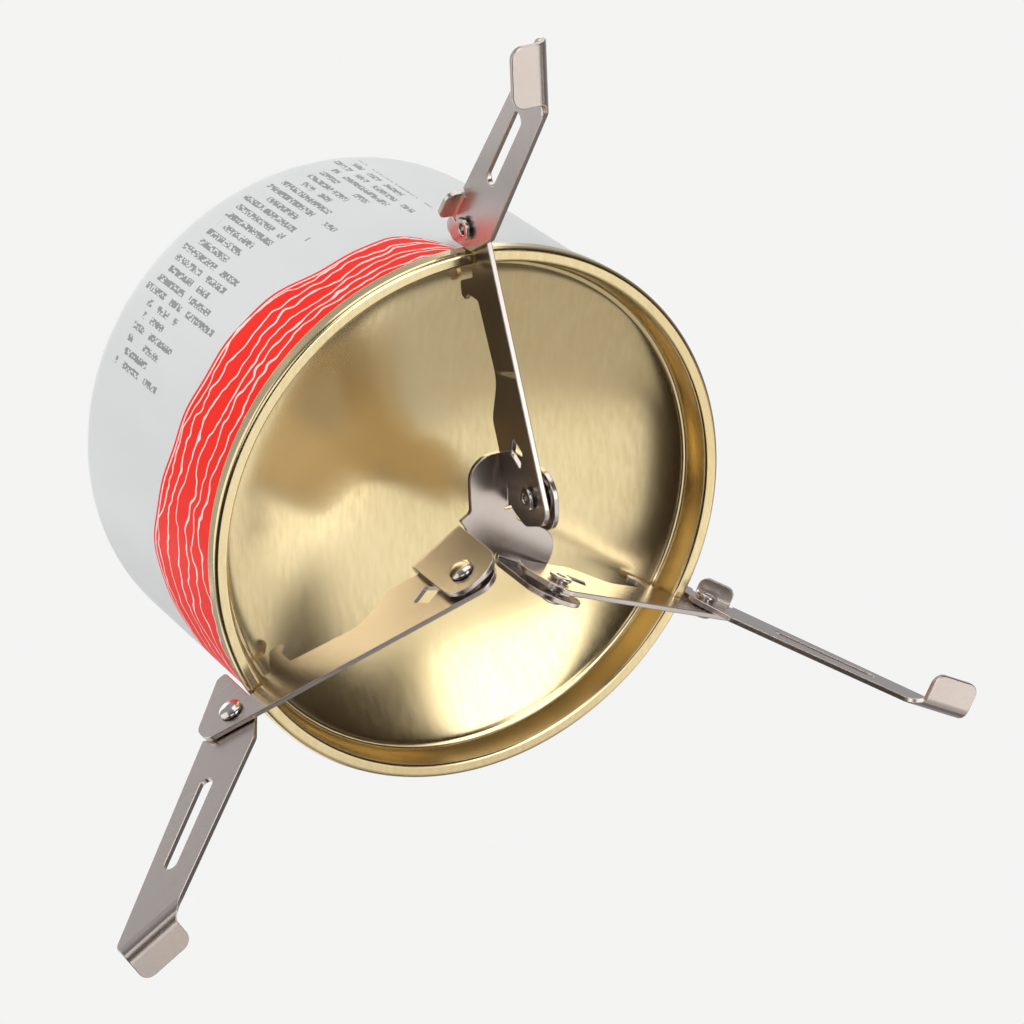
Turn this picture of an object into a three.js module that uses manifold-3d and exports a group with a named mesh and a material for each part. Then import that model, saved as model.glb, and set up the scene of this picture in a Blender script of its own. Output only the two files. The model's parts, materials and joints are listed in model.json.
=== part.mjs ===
// A screw-valve gas canister standing on its folding three-legged canister stand.
// Millimetres, +Z up. The origin is the middle of the hub bracket's flat underside, on the
// canister's axis. Leg 1 points along -Y and the other two follow at 120 degrees.

import * as THREE from 'three';
import { mergeVertices } from 'three/addons/utils/BufferGeometryUtils.js';
import Module from 'manifold-3d';

const wasm = await Module();
wasm.setup();

// ---------------------------------------------------------------- driving dimensions

const GAP = 0.3; // running clearance between neighbouring pieces
const SHEET = 1.1; // stainless sheet of the stand
const GROUND_Z = -27.9; // the plane that the feet stand on
const SEAM_Z = 6.6; // underside of the canister's bottom seam
const LEG_AZIMUTHS = [-90, 30, 150]; // degrees, seen from above
const ARC_STEPS = 2; // half the straight pieces in each rounded corner

const CAN = {
  seamRadius: 55,
  wallRadius: 53.75,
  wall: 0.6,
  wallTop: 62.4, // above the seam, where the shoulder starts
  shoulderRise: 16,
  neckRadius: 13,
  seamHeight: 3.2,
  endPlate: 0.5,
  sides: 64,
};

const HUB = {
  wingEnd: 15.8,
  freeEdge: -3.8, // wing edge on the clockwise side of its leg
  wingCorner: 5,
  earFace: 5.95, // outer face of the ear, counter-clockwise side of its leg
  earStart: 4.2,
  earEnd: 16.4,
  earBottom: -17.6,
  earCorner: 5,
};

const ARM = {
  face: 3.75, // counter-clockwise face of the blade
  hubPivot: new THREE.Vector2(11, -12.2),
  footPivot: new THREE.Vector2(59.9, 6.4),
  rise: 21.8, // degrees, slope of the blade's lower edge
  below: 5.2, // hub pivot to lower edge
  slender: 3.6, // hub pivot's line to the upper edge of the slender part
  shoulder: 9.2, // the same to the upper edge of the wide part
};

const FOOT = {
  face: ARM.face - SHEET - GAP,
  fall: -37.6, // degrees, slope of the strip
  upper: 5.66, // foot pivot to the upper edge
  heelStart: 55.5, // inner end of the strip, just outside the seam
  padStart: 94.5,
  padEnd: 106.1,
  padReach: 8, // sideways length of the pad
  tabReach: 4.5, // sideways length of the finger tab
};

const RIVET = { hole: 1.9, shank: 1.6, head: 2.5, headRise: 1.1, flare: 2.3, bore: 1.05, sides: 12 };

// ---------------------------------------------------------------- finishes

function finish(color, roughness, metalness) {
  return () => new THREE.MeshStandardMaterial({ color, roughness, metalness });
}

const stainless = finish(0xbeb4ac, 0.32, 1);
const rivetSteel = finish(0xcfc8c0, 0.2, 1);
const lacqueredTin = finish(0xc8aa68, 0.3, 1);
const printedTin = finish(0xd8dcde, 0.35, 0.1);
const tinplate = finish(0xb9b7b0, 0.3, 1);
const brass = finish(0xb89b5a, 0.3, 1);
const blackRubber = finish(0x1d1d1e, 0.8, 0);
const whitePlastic = finish(0xe4e2da, 0.45, 0);

// ---------------------------------------------------------------- shape helpers

/** Adds a closed outline with rounded corners to a path. Each corner is [x, y, radius]. */
function roundedPath(path, corners) {
  const points = corners.map(([x, y]) => new THREE.Vector2(x, y));
  corners.forEach(([, , radius = 0], i) => {
    const corner = points[i];
    const back = points[(i + points.length - 1) % points.length].clone().sub(corner).normalize();
    const ahead = points[(i + 1) % points.length].clone().sub(corner).normalize();
    const half = Math.acos(THREE.MathUtils.clamp(back.dot(ahead), -1, 1)) / 2;
    const start = corner.clone().addScaledVector(back, radius / Math.tan(half));
    if (i === 0) path.moveTo(start.x, start.y);
    else path.lineTo(start.x, start.y);
    if (radius > 0) {
      const inward = back.clone().add(ahead).normalize();
      const centre = corner.clone().addScaledVector(inward, radius / Math.sin(half));
      const end = corner.clone().addScaledVector(ahead, radius / Math.tan(half));
      const clockwise = back.cross(ahead) > 0;
      path.absarc(
        centre.x, centre.y, radius,
        start.sub(centre).angle(), end.sub(centre).angle(), clockwise,
      );
    }
  });
  path.closePath();
  return path;
}

function circleHole(x, y, radius) {
  const points = [];
  for (let i = 0; i < RIVET.sides; i += 1) {
    const angle = (2 * Math.PI * i) / RIVET.sides;
    points.push(new THREE.Vector2(x + radius * Math.cos(angle), y + radius * Math.sin(angle)));
  }
  return new THREE.Path(points);
}

function extrude(outline, depth) {
  return new THREE.ExtrudeGeometry(outline, { depth, bevelEnabled: false, curveSegments: ARC_STEPS });
}

/** Sheet in a leg's upright plane: outline in (outward, up), its thickness below y = face. */
function uprightSheet(outline, face) {
  return extrude(outline, SHEET).rotateX(Math.PI / 2).translate(0, face, 0);
}

/** Level sheet: outline in (x, y), its thickness above z = face. */
function levelSheet(outline, face) {
  return extrude(outline, SHEET).translate(0, 0, face);
}

/** Solid of revolution about Y from a closed [radius, y] profile, counter-clockwise. */
function turned(profile, sides) {
  const points = profile.map(([radius, y]) => new THREE.Vector2(radius, y));
  return new THREE.LatheGeometry(points, sides);
}

/** The same about Z, lifted to the canister's seam. */
function turnedOnCan(profile, sides = CAN.sides) {
  return turned(profile, sides).rotateX(Math.PI / 2).translate(0, 0, SEAM_Z);
}

function closedRing(inner, outer, low, high) {
  return [[inner, low], [outer, low], [outer, high], [inner, high], [inner, low]];
}

function toSolid(geometry) {
  const bare = geometry.clone();
  bare.deleteAttribute('normal');
  bare.deleteAttribute('uv');
  const merged = mergeVertices(bare, 1e-4);
  return new wasm.Manifold(new wasm.Mesh({
    numProp: 3,
    vertProperties: new Float32Array(merged.attributes.position.array),
    triVerts: new Uint32Array(merged.index.array),
  }));
}

/** Joins closed geometries into one solid. */
function joined(...geometries) {
  const mesh = geometries.map(toSolid).reduce((whole, piece) => whole.add(piece)).getMesh();
  const geometry = new THREE.BufferGeometry();
  geometry.setAttribute('position', new THREE.BufferAttribute(mesh.vertProperties, 3));
  geometry.setIndex(new THREE.BufferAttribute(mesh.triVerts, 1));
  geometry.computeVertexNormals();
  return geometry;
}

function named(name, geometry, material) {
  const mesh = new THREE.Mesh(geometry, material());
  mesh.name = name;
  return mesh;
}

/** Turns (along, across) on a line through origin at a slope in degrees into plane coordinates. */
function onSlope(origin, slope) {
  const angle = THREE.MathUtils.degToRad(slope);
  return (along, across) => [
    origin.x + along * Math.cos(angle) - across * Math.sin(angle),
    origin.y + along * Math.sin(angle) + across * Math.cos(angle),
  ];
}

// ---------------------------------------------------------------- canister

/** Points from the top of the wall over the elliptical shoulder to the neck, offset inwards. */
function shoulderCurve(inset, steps = 7) {
  const points = [];
  for (let i = 0; i <= steps; i += 1) {
    const angle = (i / steps) * (Math.PI / 2);
    const across = CAN.wallRadius - inset - CAN.neckRadius;
    points.push([
      CAN.neckRadius + across * Math.cos(angle),
      CAN.wallTop + (CAN.shoulderRise - inset) * Math.sin(angle),
    ]);
  }
  return points;
}

function canBody() {
  const foot = CAN.endPlate + GAP;
  const profile = [
    [CAN.wallRadius, foot],
    ...shoulderCurve(0),
    ...shoulderCurve(CAN.wall).reverse(),
    [CAN.wallRadius - CAN.wall, foot],
    [CAN.wallRadius, foot],
  ];
  return turnedOnCan(profile);
}

/** Bottom end: inward dome, countersink wall and the U of the seam that holds the body's edge. */
function baseEnd() {
  const seamInner = 52.1;
  const grooveInner = CAN.wallRadius - CAN.wall - GAP;
  const grooveOuter = CAN.wallRadius + GAP;
  const sinkRadius = 51.2;
  const sinkTop = 5.6;
  const domeRise = 9;
  const domeRadius = 50;
  const edgeSteepness = 0.8;
  const steps = 7;
  const dome = (lift) => {
    const points = [];
    for (let i = 0; i <= steps; i += 1) {
      const angle = (i / steps) * (Math.PI / 2);
      const radius = domeRadius * Math.sin(angle);
      const rise = domeRise * Math.cos(angle) ** (2 * edgeSteepness);
      points.push([radius, sinkTop + lift + rise]);
    }
    return points;
  };
  const profile = [
    ...dome(0),
    [sinkRadius, sinkTop - 0.6],
    [seamInner, 1],
    [seamInner + 0.4, 0.25],
    [seamInner + 1, 0],
    [CAN.seamRadius - 0.8, 0],
    [CAN.seamRadius, 0.8],
    [CAN.seamRadius, CAN.seamHeight - 0.3],
    [CAN.seamRadius - 0.3, CAN.seamHeight],
    [grooveOuter, CAN.seamHeight],
    [grooveOuter, CAN.endPlate],
    [grooveInner, CAN.endPlate],
    [sinkRadius + 0.7, sinkTop],
    ...dome(CAN.endPlate).reverse(),
  ];
  return turnedOnCan(profile);
}

const VALVE = {
  sides: 24,
  neckTop: CAN.wallTop + CAN.shoulderRise,
  cupRim: 15.8,
  wellRadius: 12.4,
  wellDepth: 3.6,
  bossRadius: 6.8,
  bossRise: 3.6, // above the neck
  threadRadius: 5.55,
  threadPitch: 0.907,
  threadTurns: 7,
  collarRise: 12, // top of the threaded collar above the neck
  bore: 3.6,
};

function cupSeal() {
  return turnedOnCan(closedRing(13.3, 15.2, VALVE.neckTop + GAP, VALVE.neckTop + 0.75), VALVE.sides);
}

/** Mounting cup: rim on the can's neck, a well round the middle and a raised boss. */
function valveCup() {
  const rimLow = VALVE.neckTop + 1.05;
  const rimHigh = rimLow + 1.2;
  const floor = VALVE.neckTop - VALVE.wellDepth;
  const bossTop = VALVE.neckTop + VALVE.bossRise;
  const plate = 0.5;
  const profile = [
    [VALVE.wellRadius, rimLow],
    [VALVE.cupRim, rimLow],
    [VALVE.cupRim, rimHigh - 0.5],
    [VALVE.cupRim - 0.6, rimHigh],
    [VALVE.wellRadius + 0.2, rimHigh],
    [VALVE.wellRadius - plate, rimHigh - 0.6],
    [VALVE.wellRadius - plate, floor + 0.6],
    [VALVE.wellRadius - plate - 0.6, floor],
    [VALVE.bossRadius + 0.5, floor],
    [VALVE.bossRadius, floor + 0.5],
    [VALVE.bossRadius, bossTop - 0.6],
    [VALVE.bossRadius - 0.6, bossTop],
    [VALVE.bore, bossTop],
    [VALVE.bore, bossTop - plate],
    [VALVE.bossRadius - plate, bossTop - plate],
    [VALVE.bossRadius - plate, floor - plate],
    [VALVE.wellRadius, floor - plate],
    [VALVE.wellRadius, rimLow],
  ];
  return turnedOnCan(profile, VALVE.sides);
}

/** Threaded collar: flange on the boss, thread rings and a lip over the seal. */
function threadedCollar() {
  const low = VALVE.neckTop + VALVE.bossRise + GAP;
  const top = VALVE.neckTop + VALVE.collarRise;
  const threadDepth = 0.5;
  const profile = [[VALVE.bore, low], [6.3, low], [6.3, low + 0.9], [VALVE.threadRadius, low + 0.9]];
  for (let turn = 0; turn < VALVE.threadTurns; turn += 1) {
    const crest = low + 1.2 + turn * VALVE.threadPitch;
    profile.push([VALVE.threadRadius, crest]);
    profile.push([VALVE.threadRadius - threadDepth, crest + VALVE.threadPitch / 2]);
  }
  profile.push([VALVE.threadRadius - 0.5, top], [2.1, top], [2.1, top - 0.7], [VALVE.bore, top - 0.7]);
  profile.push([VALVE.bore, low]);
  return turnedOnCan(profile, VALVE.sides);
}

function stemSeal() {
  const top = VALVE.neckTop + VALVE.collarRise - 0.7 - GAP;
  return turnedOnCan(closedRing(1.8, VALVE.bore - GAP, top - 1.3, top), VALVE.sides / 2);
}

function valveStem() {
  const top = VALVE.neckTop + VALVE.collarRise - 0.8;
  const flange = VALVE.neckTop + 2.6;
  const profile = [
    [0, flange - 2.6], [0.9, flange - 2.6], [0.9, flange], [2.6, flange], [2.6, flange + 0.9],
    [1.5, flange + 0.9], [1.5, top - 0.3], [1.2, top], [0, top],
  ];
  return turnedOnCan(profile, VALVE.sides / 2);
}

function valveHousing() {
  const low = VALVE.neckTop - 6;
  const top = VALVE.neckTop + VALVE.bossRise - 0.5 - GAP;
  const profile = [
    [0.8, low], [4.6, low], [5.9, low + 1.6], [5.9, top], [3.2, top],
    [3.2, low + 1.2], [0.8, low + 1.2], [0.8, low],
  ];
  return turnedOnCan(profile, VALVE.sides / 2);
}

class Helix extends THREE.Curve {
  constructor(radius, low, high, turns) {
    super();
    Object.assign(this, { radius, low, high, turns });
  }

  getPoint(t, target = new THREE.Vector3()) {
    const angle = 2 * Math.PI * this.turns * t;
    const height = THREE.MathUtils.lerp(this.low, this.high, t);
    return target.set(this.radius * Math.cos(angle), this.radius * Math.sin(angle), height);
  }
}

function valveSpring() {
  const wire = 0.3;
  const low = VALVE.neckTop - 6 + 1.2 + GAP + wire;
  const high = VALVE.neckTop + 2.6 - GAP - wire;
  const turns = 5;
  const section = new THREE.Shape().absarc(0, 0, wire, 0, 2 * Math.PI, false);
  const extrudePath = new Helix(2.2, low, high, turns);
  const options = { extrudePath, steps: turns * 10, curveSegments: ARC_STEPS + 1, bevelEnabled: false };
  return new THREE.ExtrudeGeometry(section, options).translate(0, 0, SEAM_Z);
}

function canister() {
  const group = new THREE.Group();
  group.add(
    named('can_body', canBody(), printedTin),
    named('base_end', baseEnd(), lacqueredTin),
    named('cup_seal', cupSeal(), blackRubber),
    named('valve_cup', valveCup(), tinplate),
    named('threaded_collar', threadedCollar(), brass),
    named('stem_seal', stemSeal(), blackRubber),
    named('valve_stem', valveStem(), whitePlastic),
    named('valve_spring', valveSpring(), rivetSteel),
    named('valve_housing', valveHousing(), whitePlastic),
  );
  return group;
}

// ---------------------------------------------------------------- stand

/** Flat web with three wings, and an ear folded down from the edge of each wing. */
function hubBracket() {
  const corners = [];
  const ears = [];
  LEG_AZIMUTHS.forEach((azimuth) => {
    const angle = THREE.MathUtils.degToRad(azimuth);
    const place = (x, y, radius) => [
      x * Math.cos(angle) - y * Math.sin(angle),
      x * Math.sin(angle) + y * Math.cos(angle),
      radius,
    ];
    // where the next wing's free edge crosses this wing's folded edge
    const nextEdge = (-HUB.freeEdge - HUB.earFace * Math.cos(Math.PI / 3)) / Math.sin(Math.PI / 3);
    corners.push(
      place(HUB.wingEnd, HUB.freeEdge, HUB.wingCorner),
      place(HUB.wingEnd, HUB.earFace, 0),
      place(nextEdge, HUB.earFace, 1.2),
    );
    const ear = roundedPath(new THREE.Shape(), [
      [HUB.earStart, HUB.earBottom, HUB.earCorner],
      [HUB.earEnd, HUB.earBottom, HUB.earCorner],
      [HUB.earEnd, SHEET, 0.8],
      [HUB.earStart, SHEET, 0.8],
    ]);
    ear.holes.push(circleHole(ARM.hubPivot.x, ARM.hubPivot.y, RIVET.hole));
    ears.push(uprightSheet(ear, HUB.earFace).rotateZ(angle));
  });
  return joined(levelSheet(roundedPath(new THREE.Shape(), corners), 0), ...ears);
}

/** Blade of one arm: wide at the hub, slender below the dome, hooks for two sizes of canister. */
function armBlade() {
  const at = onSlope(ARM.hubPivot, ARM.rise);
  const notchFloor = SEAM_Z - 0.4;
  const fingerTop = 17.5;
  const outline = roundedPath(new THREE.Shape(), [
    [...at(-5.6, -ARM.below), 4],
    [...at(58.3, -ARM.below), 2.2],
    [67.2, 9, 2],
    [57.5, fingerTop, 1.4],
    [CAN.seamRadius + GAP, fingerTop, 0.9],
    [CAN.seamRadius + GAP, notchFloor, 0.3],
    [51, notchFloor, 0.3],
    [51, 8.3, 0.4],
    [49.3, 7.7, 0.6],
    [46.8, 13.1, 0.9],
    [44, 12.7, 0.5],
    [43.4, 11.3, 0.3],
    [45, 10, 0.4],
    [45, 6, 0.8],
    [...at(23, ARM.slender), 7],
    [...at(15.6, ARM.shoulder), 4],
    [...at(-2, ARM.shoulder), 2.5],
    [...at(-5.6, 5), 3],
  ]);
  outline.holes.push(
    circleHole(ARM.hubPivot.x, ARM.hubPivot.y, RIVET.hole),
    circleHole(ARM.footPivot.x, ARM.footPivot.y, RIVET.hole),
    roundedPath(new THREE.Path(), [
      [...at(5.6, 1.8), 0.3], [...at(8.6, 4.3), 0.3], [...at(11.6, 1.8), 0.3], [...at(8.6, -0.7), 0.3],
    ]),
  );
  return uprightSheet(outline, ARM.face);
}

/** Folding foot: slotted strip with a pad and a finger tab bent to its clockwise side. */
function footStrip() {
  const at = onSlope(ARM.footPivot, FOOT.fall);
  const outline = roundedPath(new THREE.Shape(), [
    [FOOT.heelStart, 5.2, 3],
    [60.1, -2.7, 3],
    [FOOT.padStart, GROUND_Z, 0],
    [FOOT.padEnd, GROUND_Z, 0],
    [FOOT.padEnd, GROUND_Z + 3.7, 2],
    [58.3, 15, 2],
    [FOOT.heelStart, 12.8, 2],
  ]);
  const slotSide = 1.4;
  const slotLow = -1.7;
  const slotHigh = 1.1;
  outline.holes.push(
    circleHole(ARM.footPivot.x, ARM.footPivot.y, RIVET.hole),
    roundedPath(new THREE.Path(), [
      [...at(15.5, slotHigh), slotSide], [...at(37.2, slotHigh), slotSide],
      [...at(37.2, slotLow), slotSide], [...at(15.5, slotLow), slotSide],
    ]),
  );
  const pad = roundedPath(new THREE.Shape(), [
    [FOOT.padStart, FOOT.face - FOOT.padReach, 2.4],
    [FOOT.padEnd, FOOT.face - FOOT.padReach, 2.4],
    [FOOT.padEnd, FOOT.face, 0],
    [FOOT.padStart, FOOT.face, 0],
  ]);
  const tab = roundedPath(new THREE.Shape(), [
    [-2.5, FOOT.face - FOOT.tabReach, 1.8],
    [5, FOOT.face - FOOT.tabReach, 1.8],
    [5, FOOT.face, 0],
    [-2.5, FOOT.face, 0],
  ]);
  const tabSheet = levelSheet(tab, FOOT.upper - SHEET)
    .rotateY(-THREE.MathUtils.degToRad(FOOT.fall))
    .translate(ARM.footPivot.x, 0, ARM.footPivot.y);
  return joined(uprightSheet(outline, FOOT.face), levelSheet(pad, GROUND_Z), tabSheet);
}

/** Tubular rivet along Y: domed head beyond headFace, flared open end beyond flareFace. */
function rivet(headFace, flareFace) {
  const head = headFace + GAP;
  const flare = flareFace - GAP;
  const end = flare - 0.8;
  return turned([
    [0, flare + 1], [RIVET.bore, flare + 0.6], [RIVET.bore, end + 0.3], [RIVET.bore + 0.3, end],
    [RIVET.flare - 0.3, end], [RIVET.flare, flare - 0.3], [RIVET.shank + 0.2, flare],
    [RIVET.shank, flare + 0.2], [RIVET.shank, head], [RIVET.head, head], [RIVET.head, head + 0.3],
    [RIVET.head * 0.75, head + 0.85], [RIVET.head * 0.4, head + RIVET.headRise],
    [0, head + RIVET.headRise],
  ], RIVET.sides);
}

function washer() {
  const low = ARM.face + GAP;
  return turned(closedRing(RIVET.hole, 3.6, low, low + 0.5), RIVET.sides);
}

function leg(azimuth, number) {
  const group = new THREE.Group();
  group.rotation.z = THREE.MathUtils.degToRad(azimuth);
  const hubRivet = named(`hub_rivet_${number}`, rivet(HUB.earFace, ARM.face - SHEET), rivetSteel);
  const hubWasher = named(`hub_washer_${number}`, washer(), rivetSteel);
  const footRivet = named(`foot_rivet_${number}`, rivet(ARM.face, FOOT.face - SHEET), rivetSteel);
  hubRivet.position.set(ARM.hubPivot.x, 0, ARM.hubPivot.y);
  hubWasher.position.set(ARM.hubPivot.x, 0, ARM.hubPivot.y);
  footRivet.position.set(ARM.footPivot.x, 0, ARM.footPivot.y);
  group.add(
    named(`arm_blade_${number}`, armBlade(), stainless),
    named(`foot_strip_${number}`, footStrip(), stainless),
    hubRivet,
    hubWasher,
    footRivet,
  );
  return group;
}

// ---------------------------------------------------------------- assembly

const object = new THREE.Group();
object.add(canister());
object.add(named('hub_bracket', hubBracket(), stainless));
LEG_AZIMUTHS.forEach((azimuth, index) => object.add(leg(azimuth, index + 1)));

export default object;
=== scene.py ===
"""Looks of a screw-valve gas canister standing on its folding stand.

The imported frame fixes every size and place. Each visible piece is worked out here again as a
fine surface in the same frame, dressed in its own finish, and tied to the body it moves with.
Shapes are reckoned in millimetres and stored in metres, +Z up.
"""

import json
import logging
import math
from dataclasses import dataclass, field
from enum import Enum
from functools import reduce
from typing import Callable, Optional, Sequence

import bpy
import numpy as np
from mathutils import Matrix, Vector
from mathutils.geometry import delaunay_2d_cdt


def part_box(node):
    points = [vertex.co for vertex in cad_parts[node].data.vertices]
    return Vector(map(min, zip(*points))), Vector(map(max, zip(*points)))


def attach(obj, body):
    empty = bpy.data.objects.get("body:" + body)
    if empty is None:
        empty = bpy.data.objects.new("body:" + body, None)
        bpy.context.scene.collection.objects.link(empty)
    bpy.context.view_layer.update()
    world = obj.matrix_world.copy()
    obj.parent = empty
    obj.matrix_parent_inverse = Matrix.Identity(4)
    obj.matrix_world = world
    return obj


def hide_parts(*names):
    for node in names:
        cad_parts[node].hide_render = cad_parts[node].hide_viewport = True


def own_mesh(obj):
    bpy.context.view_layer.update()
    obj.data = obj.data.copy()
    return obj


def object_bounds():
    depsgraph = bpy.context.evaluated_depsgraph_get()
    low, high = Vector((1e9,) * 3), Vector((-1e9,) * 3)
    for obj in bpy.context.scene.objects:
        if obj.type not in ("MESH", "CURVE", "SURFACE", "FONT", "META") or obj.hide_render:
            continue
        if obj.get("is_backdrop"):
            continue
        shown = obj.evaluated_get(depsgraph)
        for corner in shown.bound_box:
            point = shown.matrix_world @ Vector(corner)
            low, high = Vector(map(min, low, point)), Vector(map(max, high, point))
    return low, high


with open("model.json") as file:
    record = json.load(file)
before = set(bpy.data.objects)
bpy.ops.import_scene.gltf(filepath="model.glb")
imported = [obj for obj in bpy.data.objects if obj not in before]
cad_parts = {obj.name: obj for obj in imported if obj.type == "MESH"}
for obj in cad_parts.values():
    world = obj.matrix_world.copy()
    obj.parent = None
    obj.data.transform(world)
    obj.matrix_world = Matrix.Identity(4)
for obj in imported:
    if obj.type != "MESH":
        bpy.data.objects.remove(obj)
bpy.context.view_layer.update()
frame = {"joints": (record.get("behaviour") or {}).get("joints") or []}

log = logging.getLogger("gas_canister_stand")

MM = 0.001

Corner = tuple[float, float, float]
Socket = bpy.types.NodeSocket
Colour = tuple[float, float, float]


class Slot(Enum):
    """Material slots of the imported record."""

    PRINT = "printed_tinplate"
    LACQUER = "lacquered_tinplate"
    TINPLATE = "bare_tinplate"
    BRASS = "collar_brass"
    RUBBER = "seal_rubber"
    PLASTIC = "valve_plastic"
    SPRING = "spring_steel"
    STAINLESS = "stand_stainless"
    RIVET = "rivet_steel"


# ------------------------------------------------------------------------------ frame readings


def low_high(node: str) -> tuple[np.ndarray, np.ndarray]:
    """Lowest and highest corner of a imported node, in millimetres."""
    low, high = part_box(node)
    return np.array(low) / MM, np.array(high) / MM


def joint(name: str) -> dict:
    """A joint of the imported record."""
    return next(row for row in frame["joints"] if row["name"] == name)


# ------------------------------------------------------------------------------ outlines


@dataclass
class Outline:
    """A line in a plane with the normal at each of its points, to the right of its travel."""

    points: np.ndarray
    normals: np.ndarray
    closed: bool = True

    def denser(self, step: float) -> "Outline":
        """Adds points so that no stretch is longer than a step.

        Each stretch is cut into equal parts, and the normals are blended along it.

        Args:
            step: longest stretch allowed, in millimetres.

        Returns:
            A new outline through the same points.
        """
        after = np.roll(np.arange(len(self.points)), -1)
        first = np.arange(len(self.points) if self.closed else len(self.points) - 1)
        after = after[first]
        lengths = np.linalg.norm(self.points[after] - self.points[first], axis=1)
        parts = np.maximum(1, np.ceil(lengths / step)).astype(int)
        source = np.repeat(first, parts)
        target = np.repeat(after, parts)
        begins = np.repeat(np.cumsum(parts) - parts, parts)
        share = ((np.arange(parts.sum()) - begins) / np.repeat(parts, parts))[:, None]
        points = self.points[source] * (1 - share) + self.points[target] * share
        normals = self.normals[source] * (1 - share) + self.normals[target] * share
        if not self.closed:
            points = np.vstack([points, self.points[-1:]])
            normals = np.vstack([normals, self.normals[-1:]])
        normals /= np.maximum(np.linalg.norm(normals, axis=1), 1e-9)[:, None]
        return Outline(points, normals, self.closed)

    def inset(self, distance: float) -> np.ndarray:
        """Points moved against their normals by a distance."""
        return self.points - self.normals * distance


def rounded(corners: Sequence[Corner], arc: int = 7, closed: bool = True) -> Outline:
    """Outline through corners, each replaced by an arc of its own radius.

    An arc's centre lies on the corner's bisector at radius / sin(half angle), and it touches
    both sides at radius / tan(half angle) from the corner.

    Args:
        corners: (x, y, radius) of each corner, travelling counter-clockwise round material.
        arc: points on each arc.
        closed: whether the last corner joins the first.

    Returns:
        The outline with exact arc normals.
    """
    places = np.array([corner[:2] for corner in corners], float)
    points: list[np.ndarray] = []
    normals: list[np.ndarray] = []
    count = len(places)
    for i, (_, _, radius) in enumerate(corners):
        here = places[i]
        back = places[i - 1] - here
        ahead = places[(i + 1) % count] - here
        if not closed and i in (0, count - 1):
            along = ahead if i == 0 else -back
            along = along / np.linalg.norm(along)
            points.append(here[None])
            normals.append(np.array([[along[1], -along[0]]]))
            continue
        back = back / np.linalg.norm(back)
        ahead = ahead / np.linalg.norm(ahead)
        before = np.array([-back[1], back[0]])
        behind = np.array([ahead[1], -ahead[0]])
        if radius <= 0:
            mitre = before + behind
            points.append(here[None])
            normals.append((mitre / max(1 + before @ behind, 0.2))[None])
            continue
        half = math.acos(float(np.clip(back @ ahead, -1, 1))) / 2
        bisector = (back + ahead) / np.linalg.norm(back + ahead)
        centre = here + bisector * radius / math.sin(half)
        sweep = np.linspace(-1, 1, arc) * (math.pi / 2 - half)
        outward = -bisector
        sideways = np.array([-outward[1], outward[0]])
        turn = 1.0 if sideways @ ahead > 0 else -1.0
        spoke = np.cos(sweep)[:, None] * outward + turn * np.sin(sweep)[:, None] * sideways
        convex = 1.0 if before @ ahead < 0 else -1.0
        points.append(centre + radius * spoke)
        normals.append(spoke * convex)
    return Outline(np.vstack(points), np.vstack(normals), closed)


def ring(x: float, y: float, radius: float, count: int = 48) -> Outline:
    """Round hole: a circle travelled clockwise, so that its normals point into the hole."""
    angle = -np.linspace(0, 2 * math.pi, count, endpoint=False)
    spoke = np.stack([np.cos(angle), np.sin(angle)], axis=1)
    return Outline(np.array([x, y]) + radius * spoke, -spoke)


def hole(corners: Sequence[Corner], arc: int = 9) -> Outline:
    """Hole with rounded corners: a counter-clockwise outline turned round."""
    made = rounded(corners, arc)
    return Outline(made.points[::-1], -made.normals[::-1])


# ------------------------------------------------------------------------------ surfaces


@dataclass
class Surface:
    """Points, normals and faces of one closed piece, in millimetres."""

    points: np.ndarray
    normals: np.ndarray
    faces: list[np.ndarray] = field(default_factory=list)
    charts: list[np.ndarray] = field(default_factory=list)

    def moved(self, matrix: np.ndarray, shift: Sequence[float] = (0, 0, 0)) -> "Surface":
        """The same surface turned by a rotation matrix and then shifted."""
        points = self.points @ matrix.T + np.array(shift, float)
        return Surface(points, self.normals @ matrix.T, self.faces, self.charts)

    def raised(self, height: float) -> "Surface":
        """The same surface moved up by a height."""
        return self.moved(np.eye(3), (0, 0, height))

    def to_object(self, name: str) -> bpy.types.Object:
        """Puts the arrays into a mesh object at the origin.

        Args:
            name: name of the object and its mesh.

        Returns:
            The new object, linked to the scene, smooth, with its chart as a UV map in metres.
        """
        mesh = bpy.data.meshes.new(name)
        sizes = np.concatenate([np.full(len(f), f.shape[1]) for f in self.faces])
        corners = np.concatenate([f.ravel() for f in self.faces])
        mesh.vertices.add(len(self.points))
        mesh.vertices.foreach_set("co", (self.points * MM).astype(np.float32).ravel())
        mesh.loops.add(len(corners))
        mesh.loops.foreach_set("vertex_index", corners.astype(np.int32))
        mesh.polygons.add(len(sizes))
        mesh.polygons.foreach_set("loop_start", (np.cumsum(sizes) - sizes).astype(np.int32))
        mesh.polygons.foreach_set("use_smooth", np.ones(len(sizes), bool))
        chart = np.concatenate([c.reshape(-1, 2) for c in self.charts])
        layer = mesh.uv_layers.new(name="chart")
        layer.data.foreach_set("uv", chart.astype(np.float32).ravel())
        mesh.update(calc_edges=True)
        mesh.validate()
        mesh.normals_split_custom_set_from_vertices(self.normals.astype(np.float32))
        made = bpy.data.objects.new(name, mesh)
        bpy.context.scene.collection.objects.link(made)
        return made


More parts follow.
